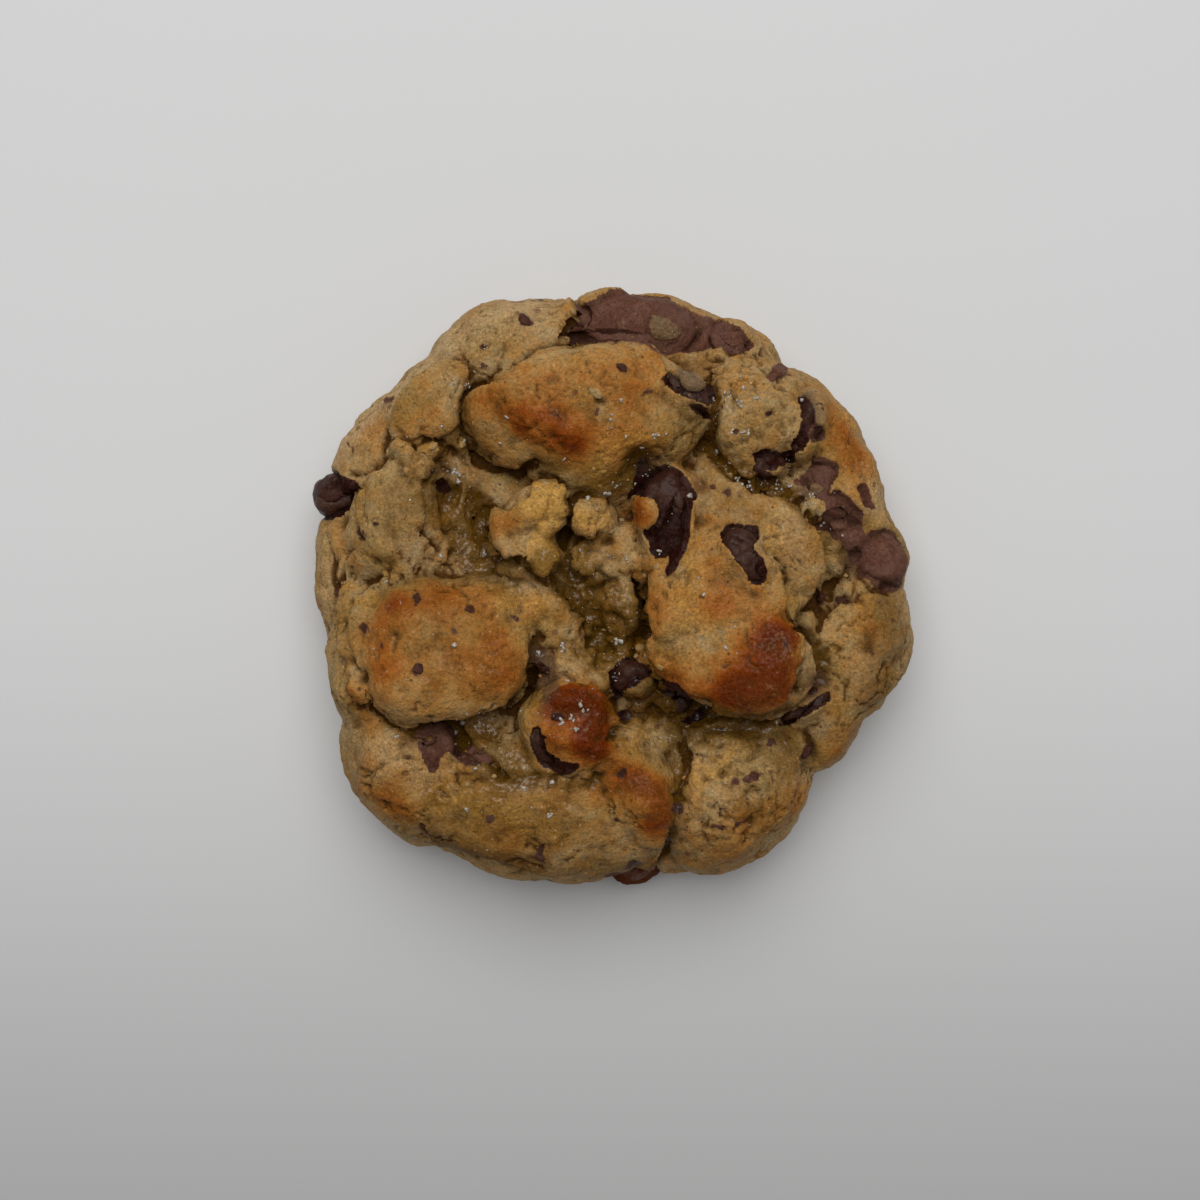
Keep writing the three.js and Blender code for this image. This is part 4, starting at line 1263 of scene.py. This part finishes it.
dough_finish, tree, shader, place = new_material("baked_dough")
read = {name: add(tree, "ShaderNodeAttribute", attribute_name=name).outputs["Fac"]
        for name in ("browning", "pale", "gold", "veil", "wet", "cocoa", "crease", "melt", "darkness")}
mottle, blotch, speckle = (maths(tree, "SUBTRACT", clouds(tree, place, *patch), 0.5) for patch in PATCHES)
sand = use_group(tree, grain, {"Place": place, "Size": GRAIN_SIZE})
tone = maths(tree, "MULTIPLY_ADD", read["browning"], TONE_SPAN, TONE_START)
calm = maths(tree, "MULTIPLY_ADD+", read["browning"], CALMING, 1.0)
mottled = maths(tree, "MULTIPLY_ADD", blotch, 0.65, mottle)
tone = maths(tree, "MULTIPLY_ADD", mottled, calm, tone)
baked = tones(tree, tone, BAKED)
print("dough material reads", len(read), "maps")

# %% [markdown]
# Each coat has a mask, a strength and a colour. A stored map is shaken by noise before it is used as a mask,
# which gives it the uneven edge that baking gives. Calm is the share that browning leaves of the pale
# effects, because a browned crust is more even.

# %% Dough material: coats over the baked colour
DARK_FLECKS = {"Size": 0.0030, "Share": 0.12}  # size in metres, and how much of the dough they touch
FINE_FLECKS = {"Size": 0.0012, "Share": 0.10}
SUGAR_GRAINS = {"Size": 0.0010, "Share": 0.16}

olive = clouds(tree, place, 0.010, detail=2)
olive = maths(tree, "MULTIPLY", between(tree, olive, 0.48, 0.66), maths(tree, "MULTIPLY", calm, 0.45))
baked = blend(tree, olive, baked, OLIVE)
softly = maths(tree, "MULTIPLY_ADD", blotch, 1.6, read["pale"])
baked = coat(tree, baked, between(tree, softly, 0.1, 1.1), 0.7, SOFT)
gold = maths(tree, "MULTIPLY_ADD", blotch, 1.5, read["gold"])
baked = coat(tree, baked, between(tree, gold, 0.1, 0.9), 0.75, GOLDEN)
# painted shade in the pits of the grain
baked = coat(tree, baked, sand["Pits"], 0.3, SHADE_IN_PITS)
# painted shade: the crease map darkens the dough
deep = maths(tree, "MULTIPLY+", read["crease"], 0.8)
baked = blend(tree, deep, baked, SHADE_IN_CREASES)
damp = between(tree, maths(tree, "MULTIPLY_ADD", mottle, 1.4, read["wet"]), 0.05, 0.95)
baked = coat(tree, baked, damp, 0.66, BUTTERY)
brown_dots = use_group(tree, flecks, {"Place": place, **DARK_FLECKS})["Mask"]
fine_dots = use_group(tree, flecks, {"Place": place, **FINE_FLECKS})["Mask"]
brown_dots = maths(tree, "MULTIPLY", brown_dots, 0.55)
dots = maths(tree, "MAXIMUM", brown_dots, maths(tree, "MULTIPLY", fine_dots, 0.75))
baked = blend(tree, dots, baked, FLECK)
sugar = use_group(tree, flecks, {"Place": place, **SUGAR_GRAINS})["Mask"]
baked = coat(tree, baked, sugar, maths(tree, "MULTIPLY", calm, 0.36), SUGAR)
rub = maths(tree, "MULTIPLY_ADD", maths(tree, "MULTIPLY", mottle, 1.3), calm, read["cocoa"])
baked = coat(tree, baked, between(tree, rub, 0.28, 0.85), 0.75, RUBBED)
print("dough colour:", len(tree.nodes), "nodes")

# %% [markdown]
# Last comes the melted chocolate, wherever the stored distance says that a point is inside an outline. It
# lies over all the coats, the thin films of dough lie over it, and a fine speckle makes the whole grainy.
# That speckle is partly the grain's own tone and partly painted glints and painted shade of its small bumps.

# %% Dough material: melted chocolate and speckle
marked = use_group(tree, marks, {"Place": place})
chocolate = between(tree, maths(tree, "MULTIPLY_ADD", speckle, 0.25, read["melt"]), 0.44, 0.56)
milk = coat(tree, MILK, marked["Bloom"], 0.7, MILK_BLOOM)
dark = coat(tree, DARK, marked["Bloom"], 0.7, DARK_BLOOM)
melted = blend(tree, read["darkness"], milk, dark)
# painted shade: the crease map darkens the melted chocolate too
melted = coat(tree, melted, deep, 0.5, CHOCOLATE_IN_SHADE)
melted = coat(tree, melted, marked["Crumbs"], 0.45, CRUMB)
painted_colour = coat(tree, blend(tree, chocolate, baked, melted), read["veil"], 0.8, VEIL)
# partly the grain's tone, partly painted glints and painted shade of its small bumps
grain_glints_and_shade = clouds(tree, place, 0.0004, detail=2, roughness=0.75)
grain_glints_and_shade = maths(tree, "MULTIPLY_ADD", grain_glints_and_shade, 1.35, 0.345)
grain_glints_and_shade = maths(tree, "MULTIPLY_ADD", speckle, 1.2, grain_glints_and_shade)
tree.links.new(brightened(tree, painted_colour, grain_glints_and_shade), shader.inputs["Base Color"])
print("with chocolate:", len(tree.nodes), "nodes")

# %% [markdown]
# A baked crust is dull, and its butter shines. A clear coat does that: it is thin everywhere, thicker on
# what is browned and thickest in the damp hollows, and broken up by the speckle so that it glints in points.

# %% Dough material: shine and bumps
rough = maths(tree, "MULTIPLY_ADD", read["wet"], -0.22, 0.52)
rough = maths(tree, "MULTIPLY_ADD", speckle, 0.35, rough)
glossy = maths(tree, "MULTIPLY_ADD", read["darkness"], -0.14, 0.56)
rough = add(tree, "ShaderNodeMix", {0: chocolate, 2: rough, 3: glossy}).outputs[0]
tree.links.new(rough, shader.inputs["Roughness"])
gloss = maths(tree, "MULTIPLY_ADD", read["browning"], 0.14, 0.03)
gloss = maths(tree, "MULTIPLY_ADD", damp, 0.75, gloss)
gloss = maths(tree, "MULTIPLY", between(tree, speckle, -0.05, 0.12), gloss)
tree.links.new(gloss, shader.inputs["Coat Weight"])
shader.inputs["Coat Roughness"].default_value = 0.15
shader.inputs["Specular IOR Level"].default_value = 0.05
height = add(tree, "ShaderNodeMix", {0: chocolate, 2: sand["Height"], 3: marked["Height"]}).outputs[0]
bumps(tree, shader, height, 0.7, 0.00022)
crust_piece = place_piece(crust, "dough_crust", dough_finish)
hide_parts("dough")

# %% [markdown]
# ## Finish of the chocolate
# Milk chocolate that melted and set again is dull, with a greyish bloom and a little dough stuck to it. Dark
# chocolate keeps a smooth gloss, the piece at the near edge is redder, and small chips are dull. All are the
# same recipe with other colours and shine.


# %% Chocolate materials
def chocolate_finish(name, colour, bloom_colour, roughness, bump_depth, shine=0.16):
    """A chocolate with a bloom in patches."""
    material, tree, shader, place = new_material(name)
    marked = use_group(tree, marks, {"Place": place})
    tint = coat(tree, colour, marked["Bloom"], 0.55, bloom_colour)
    tint = coat(tree, tint, marked["Crumbs"], 0.45, CRUMB)
    shade = maths(tree, "MULTIPLY_ADD", clouds(tree, place, 0.0005, detail=2, roughness=0.7), 1.2, 0.4)
    tree.links.new(brightened(tree, tint, shade), shader.inputs["Base Color"])
    rough = maths(tree, "MULTIPLY_ADD", marked["Bloom"], 0.16, roughness)
    rough = maths(tree, "MULTIPLY_ADD", marked["Crumbs"], 0.25, rough)
    tree.links.new(rough, shader.inputs["Roughness"])
    shader.inputs["Specular IOR Level"].default_value = shine
    bumps(tree, shader, marked["Height"], 0.6, bump_depth)
    return material


milk_finish = chocolate_finish("milk_chocolate", MILK, MILK_BLOOM, 0.54, 0.00030)
dark_finish = chocolate_finish("dark_chocolate", (0.042, 0.014, 0.008, 1), (0.090, 0.042, 0.026, 1), 0.34,
                               0.00024, shine=0.18)
base_finish = chocolate_finish("base_chocolate", (0.105, 0.028, 0.009, 1), (0.125, 0.040, 0.015, 1), 0.6,
                               0.0003, shine=0.02)
chip_finish = chocolate_finish("chip_chocolate", (0.066, 0.022, 0.014, 1), (0.105, 0.046, 0.030, 1),
                               0.6, 0.00018)
print("finishes of chocolate:", milk_finish.name, dark_finish.name, base_finish.name, chip_finish.name)

# %% [markdown]
# ## Pieces of chocolate
# Each piece starts as a fine skin round its solid, with its facets softened. Then it gets the look of
# something that was broken from a bar and half melted: a broad unevenness, and creases between flat faces.
# It keeps its place and size, and stands a little higher than the dough that was sunk round it.

# %% Chocolate pieces
CHUNK_STEP = 0.34 * MM
CHUNK_GROW = 0.12 * MM
BREAKS = 8  # flat broken faces on a chunk
BREAK_DEPTH = (0.72, 0.95)  # how far out a broken face lies, as a share of the chunk's reach there
TOP_DEPTH = 0.72  # the same for the flat top
TOP_TILT = 0.25  # how far that top leans
EDGE_SMOOTHING = 9  # rounds of smoothing that round the broken edges
UNEVEN = (0.24, 0.16)  # mm, of the broad and the fine unevenness
CRACK = 0.3  # mm, depth of the cracks
RIM_CRACK = 0.08  # the same on the smooth dark chip at the rim


def chocolate_piece(name, finish, seed, cracks):
    """A finer copy of a node of chocolate that replaces it, with cracks of a depth in millimetres."""
    form = bmesh.new()
    merged_node(form, name)
    chance = random.Random(seed)
    middle = sum((vert.co for vert in form.verts), Vector()) / len(form.verts)
    for number in range(BREAKS):
        facing = Vector([chance.gauss(0, 1) for _ in range(3)])
        depth = chance.uniform(*BREAK_DEPTH)
        if number == 0:
            facing = Vector((TOP_TILT * facing.x, TOP_TILT * facing.y, 1))
            depth = TOP_DEPTH
        facing.normalize()
        reach = max((vert.co - middle).dot(facing) for vert in form.verts) * depth
        whole = form.verts[:] + form.edges[:] + form.faces[:]
        cut = bmesh.ops.bisect_plane(form, geom=whole, plane_co=middle + facing * reach, plane_no=facing,
                                     clear_outer=True)
        rim = [item for item in cut["geom_cut"] if isinstance(item, bmesh.types.BMEdge)]
        bmesh.ops.contextual_create(form, geom=rim)
    fine = with_modifier(mesh_of(form, name), "REMESH", mode="VOXEL", voxel_size=CHUNK_STEP)
    points = averaged(read_points(fine), read_edges(fine), EDGE_SMOOTHING)
    write_points(fine, points)
    outward = read_normals(fine)
    relief = UNEVEN[0] * fractal(points, 4.0 * MM, 2, seed) + UNEVEN[1] * fractal(points, 1.2 * MM, 3, seed)
    cracked = np.abs(fractal(points, 4.5 * MM, 2, seed + 20))
    relief -= cracks * (1 - ramp(cracked, 0.0, 0.07))
    points += outward * (relief * MM + CHUNK_GROW)[:, None]
    write_points(fine, points)
    piece = place_piece(fine, name + "_piece", finish)
    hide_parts(name)


for number, name in enumerate(CHOCOLATE):
    if name == "milk_chunk_near":
        chocolate_piece(name, base_finish, number, CRACK)
    elif name.startswith("milk"):
        chocolate_piece(name, milk_finish, number, CRACK)
    elif name in AT_THE_RIM:
        chocolate_piece(name, dark_finish, number, RIM_CRACK)
    else:
        chocolate_piece(name, dark_finish, number, CRACK)

# %% [markdown]
# ## Chips, salt and crumbs
# Many small things lie in the crust: chips of chocolate no longer than a few millimetres, coarse salt, and
# crumbs of dough. All of one kind are one joined mesh. Each is a small block at a pixel of the photograph,
# turned to lie in the skin there, partly sunk, with its corners shaken so that no two are alike.

# %% Laying small things on the skin
ground = surface_of(crust)


def lying(pixel, angle, sink):
    """A transform to the skin at a pixel, turned by an angle in the picture, or None beside the cookie."""
    place, outward = seen_at(ground, pixel)
    if place is None:
        return None
    turn = math.radians(angle)
    along = Vector((math.cos(turn), math.sin(turn), 0))
    along = (along - outward * along.dot(outward)).normalized()
    across = outward.cross(along)
    turned = Matrix((along, across, outward)).transposed().to_4x4()
    return Matrix.Translation(place - outward * sink) @ turned


def add_lump(form, chance, where, size, blocky, shake, detail=2):
    """Adds one lump, if there is a place for it; blocky runs from 1 for round towards 0 for square."""
    if where is None:
        return
    made = bmesh.ops.create_icosphere(form, subdivisions=detail, radius=1.0)
    for vert in made["verts"]:
        squared = [math.copysign(abs(value) ** blocky, value) for value in vert.co]
        shaken = [value * (1 + chance.uniform(-shake, shake)) for value in squared]
        vert.co = where @ Vector([value * half for value, half in zip(shaken, size)])


def finished(form, name):
    """A mesh from a bmesh, facing outward."""
    bmesh.ops.recalc_face_normals(form, faces=form.faces)
    return mesh_of(form, name)


# %% Small chips of chocolate
SMALLEST_CHIP = 12  # pixels; the shorter ones are only marks on the skin
CHIP_HALF = 0.42  # half of a chip's length, as a share of its mark's
CHIP_HEIGHT = 0.15 * MM
CHIP_SINK = 0.11 * MM

chance = random.Random(3)
form = bmesh.new()
for pixel, length, width, angle in CHIPS:
    if max(length, width) < SMALLEST_CHIP:
        continue
    size = [CHIP_HALF * length / PIXELS_PER_MM * MM, CHIP_HALF * width / PIXELS_PER_MM * MM, CHIP_HEIGHT]
    add_lump(form, chance, lying(pixel, angle, CHIP_SINK), size, 0.8, 0.35)
place_piece(finished(form, "small_chips"), "small_chips", chip_finish)

# %% [markdown]
# ## Salt
# Salt on a cookie is broken flakes and grains, strewn in pinches that fall apart, with loose grains far from
# them. In the photograph it isn't white but a warm grey with a glint. Each pinch has a place, a number, a
# spread and a size, and the broad ones at the end of the list are the loose grains.

# %% Salt material
salt_finish, tree, shader, place = new_material("salt")
cloudy = clouds(tree, place, 0.0004, detail=2)
crystal = tones(tree, cloudy, [(0.3, (0.31, 0.26, 0.19)), (0.7, (0.60, 0.55, 0.49))])
tree.links.new(crystal, shader.inputs["Base Color"])
shader.inputs["Roughness"].default_value = 0.25
print("material:", salt_finish.name)

# %% Salt
COARSE = 2  # pixels; bigger flakes are a little wider for their size
SALT_HALF = (0.42, 0.55)  # half of a flake's width as a share of its size, for fine and coarse ones
SALT_SHAPE = ((0.6, 1.3), (0.4, 1.0), (0.2, 0.6))  # how long, wide and high a flake may be
SALT_RISE = 0.2  # how far it stands out of the skin
SALT = [
    # pixel, number, spread and size of one flake in pixels
    ((507, 417), 1, 0, 4), ((500, 443), 1, 0, 3), ((622, 400), 2, 2, 4), ((612, 418), 3, 3, 3),
    ((610, 427), 4, 5, 2), ((626, 436), 2, 2, 2.5), ((632, 430), 1, 1, 2), ((657, 436), 4, 4, 3),
    ((666, 434), 1, 0, 3), ((643, 447), 2, 2, 3), ((600, 422), 2, 3, 2), ((563, 459), 2, 2, 2.5),
    ((598, 395), 2, 4, 2), ((745, 434), 4, 4, 4), ((731, 433), 2, 3, 3), ((740, 401), 4, 3, 3.5),
    ((739, 406), 2, 3, 3), ((728, 394), 5, 4, 2.5), ((726, 408), 2, 2, 3), ((743, 387), 2, 2, 3),
    ((740, 376), 1, 1, 3), ((755, 400), 3, 3, 3), ((714, 399), 2, 2, 3), ((713, 415), 3, 4, 2),
    ((802, 400), 1, 0, 4), ((786, 459), 1, 0, 4), ((790, 468), 5, 5, 2), ((716, 452), 2, 2, 3),
    ((729, 464), 4, 4, 2), ((737, 478), 5, 3, 3.5), ((750, 484), 7, 5, 3), ((762, 480), 6, 5, 2),
    ((776, 486), 5, 4, 2.5), ((789, 485), 2, 2, 4), ((812, 497), 5, 5, 2.5), ((822, 525), 3, 4, 3),
    ((843, 536), 2, 1, 3), ((805, 503), 4, 4, 2), ((455, 472), 7, 5, 4), ((460, 480), 3, 2, 4),
    ((445, 470), 5, 5, 2), ((487, 556), 2, 3, 5), ((500, 560), 2, 2, 3), ((517, 482), 1, 0, 3),
    ((518, 482), 1, 1, 2), ((609, 493), 4, 3, 4), ((616, 485), 4, 4, 3), ((635, 484), 1, 0, 3),
    ((588, 499), 2, 3, 4), ((645, 474), 5, 5, 2), ((580, 550), 1, 0, 3), ((562, 646), 5, 4, 4),
    ((618, 642), 3, 3, 5), ((538, 653), 2, 2, 4), ((568, 680), 2, 2, 3), ((578, 703), 2, 3, 4.5),
    ((583, 710), 2, 2, 3.5), ((588, 710), 1, 0, 3), ((563, 722), 4, 4, 3.5), ((572, 720), 4, 4, 3),
    ((577, 729), 2, 2, 4), ((521, 711), 2, 1, 3), ((549, 815), 4, 3, 3.5), ((533, 809), 3, 4, 2),
    ((526, 788), 3, 4, 3), ((552, 782), 1, 1, 4), ((466, 809), 2, 2, 3.5), ((462, 723), 2, 1, 4),
    ((455, 745), 3, 3, 4), ((455, 733), 2, 2, 4), ((428, 727), 2, 2, 4), ((465, 716), 5, 6, 2),
    ((480, 713), 6, 6, 2), ((478, 767), 2, 2, 3), ((396, 735), 2, 2, 3.5), ((454, 646), 2, 2, 4),
    ((704, 593), 2, 2, 4), ((697, 578), 2, 2, 3), ((726, 648), 2, 1, 4), ((735, 627), 1, 0, 2.5),
    ((624, 676), 4, 5, 3), ((616, 682), 5, 5, 2), ((690, 496), 3, 2, 4), ((661, 553), 3, 3, 3),
    ((644, 558), 3, 4, 2), ((627, 560), 4, 4, 2.5), ((612, 557), 3, 4, 2), ((386, 582), 2, 3, 3),
    ((400, 603), 2, 2, 2), ((410, 500), 1, 0, 3), ((441, 556), 1, 0, 4), ((487, 347), 4, 5, 2),
    ((478, 367), 3, 4, 2.5), ((469, 384), 4, 4, 3), ((452, 383), 3, 3, 2.5), ((464, 440), 2, 2, 3),
    ((408, 438), 3, 4, 2), ((443, 425), 2, 2, 2.5), ((660, 738), 2, 2, 3), ((374, 649), 1, 0, 2.5),
    ((580, 520), 12, 60, 1.6), ((600, 640), 34, 50, 1.6), ((640, 500), 20, 45, 1.6),
    ((470, 500), 18, 40, 1.5), ((730, 420), 26, 45, 1.5), ((820, 500), 22, 40, 1.5),
    ((680, 330), 12, 24, 1.5), ((560, 720), 16, 30, 1.5), ((700, 620), 14, 50, 1.4),
    ((430, 640), 14, 60, 1.3), ((480, 800), 14, 70, 1.3), ((740, 780), 16, 50, 1.2),
    ((560, 400), 22, 60, 1.3), ((760, 560), 16, 45, 1.3), ((400, 500), 14, 50, 1.2),
    ((620, 800), 14, 40, 1.3),
]
form = bmesh.new()
laid = 0
for pixel, number, spread, across in SALT:
    for _ in range(number):
        at = [value + chance.gauss(0, 0.5) * spread for value in pixel]
        half = SALT_HALF[across > COARSE] * across / PIXELS_PER_MM * MM
        size = [half * chance.uniform(*share) for share in SALT_SHAPE]
        where = lying(at, chance.uniform(0, 180), -SALT_RISE * half)
        add_lump(form, chance, where, size, 0.4, 0.25, detail=1)
        laid += 1
place_piece(finished(form, "salt_flakes"), "salt_flakes", salt_finish)
print("flakes of salt:", laid)

# %% [markdown]
# ## Crumbs
# Where the dough was torn, crumbs stick to its edges. They are the same dough, so they take its material,
# and they lie sunk by a part of their height, because a crumb that only touches the skin looks dropped on.

# %% Crumbs of dough
CRUMB_SINK = 0.3  # share of half a crumb's height
CRUMBS = [
    # pixel, length, width and height in pixels, angle
    ((596, 393), 15, 10, 3, -35), ((567, 497), 5, 4, 3, 0), ((566, 508), 4, 4, 3, 30),
    ((558, 487), 5, 4, 3, 0),
    ((545, 483), 5, 4, 3, 0), ((536, 489), 5, 4, 3, 20), ((600, 486), 5, 4, 3, 0), ((628, 480), 4, 3, 3, 0),
    ((604, 472), 7, 6, 3, 0), ((594, 470), 5, 6, 3, 0), ((612, 532), 7, 5, 4, 20), ((622, 520), 6, 5, 3, 0),
    ((560, 600), 6, 5, 4, 0), ((612, 590), 7, 5, 3, 40), ((624, 600), 6, 5, 3, 0), ((604, 630), 8, 4, 3, 20),
    ((640, 648), 9, 8, 5, 10), ((646, 656), 8, 7, 4, 0), ((636, 656), 6, 6, 4, 0), ((660, 668), 8, 7, 4, 0),
    ((647, 574), 9, 9, 4, 0), ((656, 566), 8, 8, 4, 0), ((402, 445), 7, 6, 4, 0), ((434, 446), 9, 6, 4, 60),
    ((420, 462), 8, 6, 4, 50), ((462, 444), 8, 7, 4, 70), ((406, 470), 8, 7, 3, 0), ((440, 560), 5, 4, 3, 0),
    ((560, 300), 5, 4, 3, 0), ((572, 312), 6, 5, 3, 0), ((566, 319), 5, 4, 3, 0), ((540, 676), 5, 4, 3, 0),
    ((690, 745), 6, 5, 3, 0), ((706, 760), 7, 6, 3, 0), ((684, 778), 6, 5, 3, 0),
    ((694, 800), 8, 6, 3, 0), ((732, 760), 6, 5, 3, 0), ((806, 520), 5, 4, 3, 0), ((818, 532), 6, 5, 3, 0),
    ((830, 548), 7, 5, 3, -40), ((846, 575), 6, 5, 3, 0), ((796, 476), 6, 5, 3, 0), ((730, 474), 5, 4, 3, 0),
    ((410, 762), 6, 5, 3, 0), ((420, 768), 7, 5, 3, 0), ((452, 772), 7, 5, 3, 0), ((494, 776), 6, 5, 3, 0),
    ((340, 530), 6, 4, 3, 0), ((330, 540), 5, 4, 3, 0), ((344, 548), 5, 4, 3, 0), ((876, 482), 5, 4, 3, 0),
]
form = bmesh.new()
for pixel, length, width, high, angle in CRUMBS:
    size = [value / 2 / PIXELS_PER_MM * MM for value in (length, width, high)]
    add_lump(form, chance, lying(pixel, angle, CRUMB_SINK * size[2]), size, 0.9, 0.22)
place_piece(finished(form, "dough_crumbs"), "dough_crumbs", dough_finish)

# %% [markdown]
# ## The table and the light
# A plain pale floor stands in for a table, with painted shade that makes it darker towards us. The light is
# soft and comes from the far side, a little from above, so each lump is bright on its far side and the shadow
# falls towards us.

# %% Floor, lights and world
FLOOR_SIZE = 3.0  # metres
SHADE_FROM, SHADE_TO = 0.02, -0.15  # metres towards us between which painted shade makes the paper darker

form = bmesh.new()
bmesh.ops.create_grid(form, x_segments=1, y_segments=1, size=FLOOR_SIZE / 2)
floor_mesh = mesh_of(form, "pale_floor")
floor = bpy.data.objects.new("pale_floor", floor_mesh)
bpy.context.scene.collection.objects.link(floor)
floor_finish, tree, shader, place = new_material("pale_paper")
haze = clouds(tree, place, 0.4, detail=2)
paper = tones(tree, haze, [(0.3, (0.775, 0.78, 0.78)), (0.7, (0.80, 0.80, 0.80))])
towards_us = add(tree, "ShaderNodeSeparateXYZ", {"Vector": place}).outputs["Y"]
# painted shade: the paper darkens towards us
paper = blend(tree, between(tree, towards_us, SHADE_FROM, SHADE_TO), paper, (0.46, 0.46, 0.46, 1))
tree.links.new(paper, shader.inputs["Base Color"])
shader.inputs["Roughness"].default_value = 0.7
floor_mesh.materials.append(floor_finish)


def soft_light(name, place, width, power, colour):
    """A square softbox that faces the cookie."""
    lamp = bpy.data.lights.new(name, "AREA")
    lamp.size = width
    lamp.energy = power
    lamp.color = colour
    holder = bpy.data.objects.new(name, lamp)
    holder.location = place
    holder.rotation_euler = (-Vector(place)).to_track_quat("-Z", "Y").to_euler()
    bpy.context.scene.collection.objects.link(holder)


soft_light("far_softbox", (-0.02, 0.50, 1.02), 1.1, 10.6, (1.0, 0.995, 0.985))
world = bpy.data.worlds.new("pale_room")
bpy.context.scene.world = world
world.use_nodes = True
world.node_tree.nodes["Background"].inputs["Color"].default_value = (0.97, 0.985, 1.0, 1)
world.node_tree.nodes["Background"].inputs["Strength"].default_value = 0.195
bpy.context.scene.view_settings.view_transform = "Standard"
print("lights:", len(bpy.data.lights), "and a pale room")
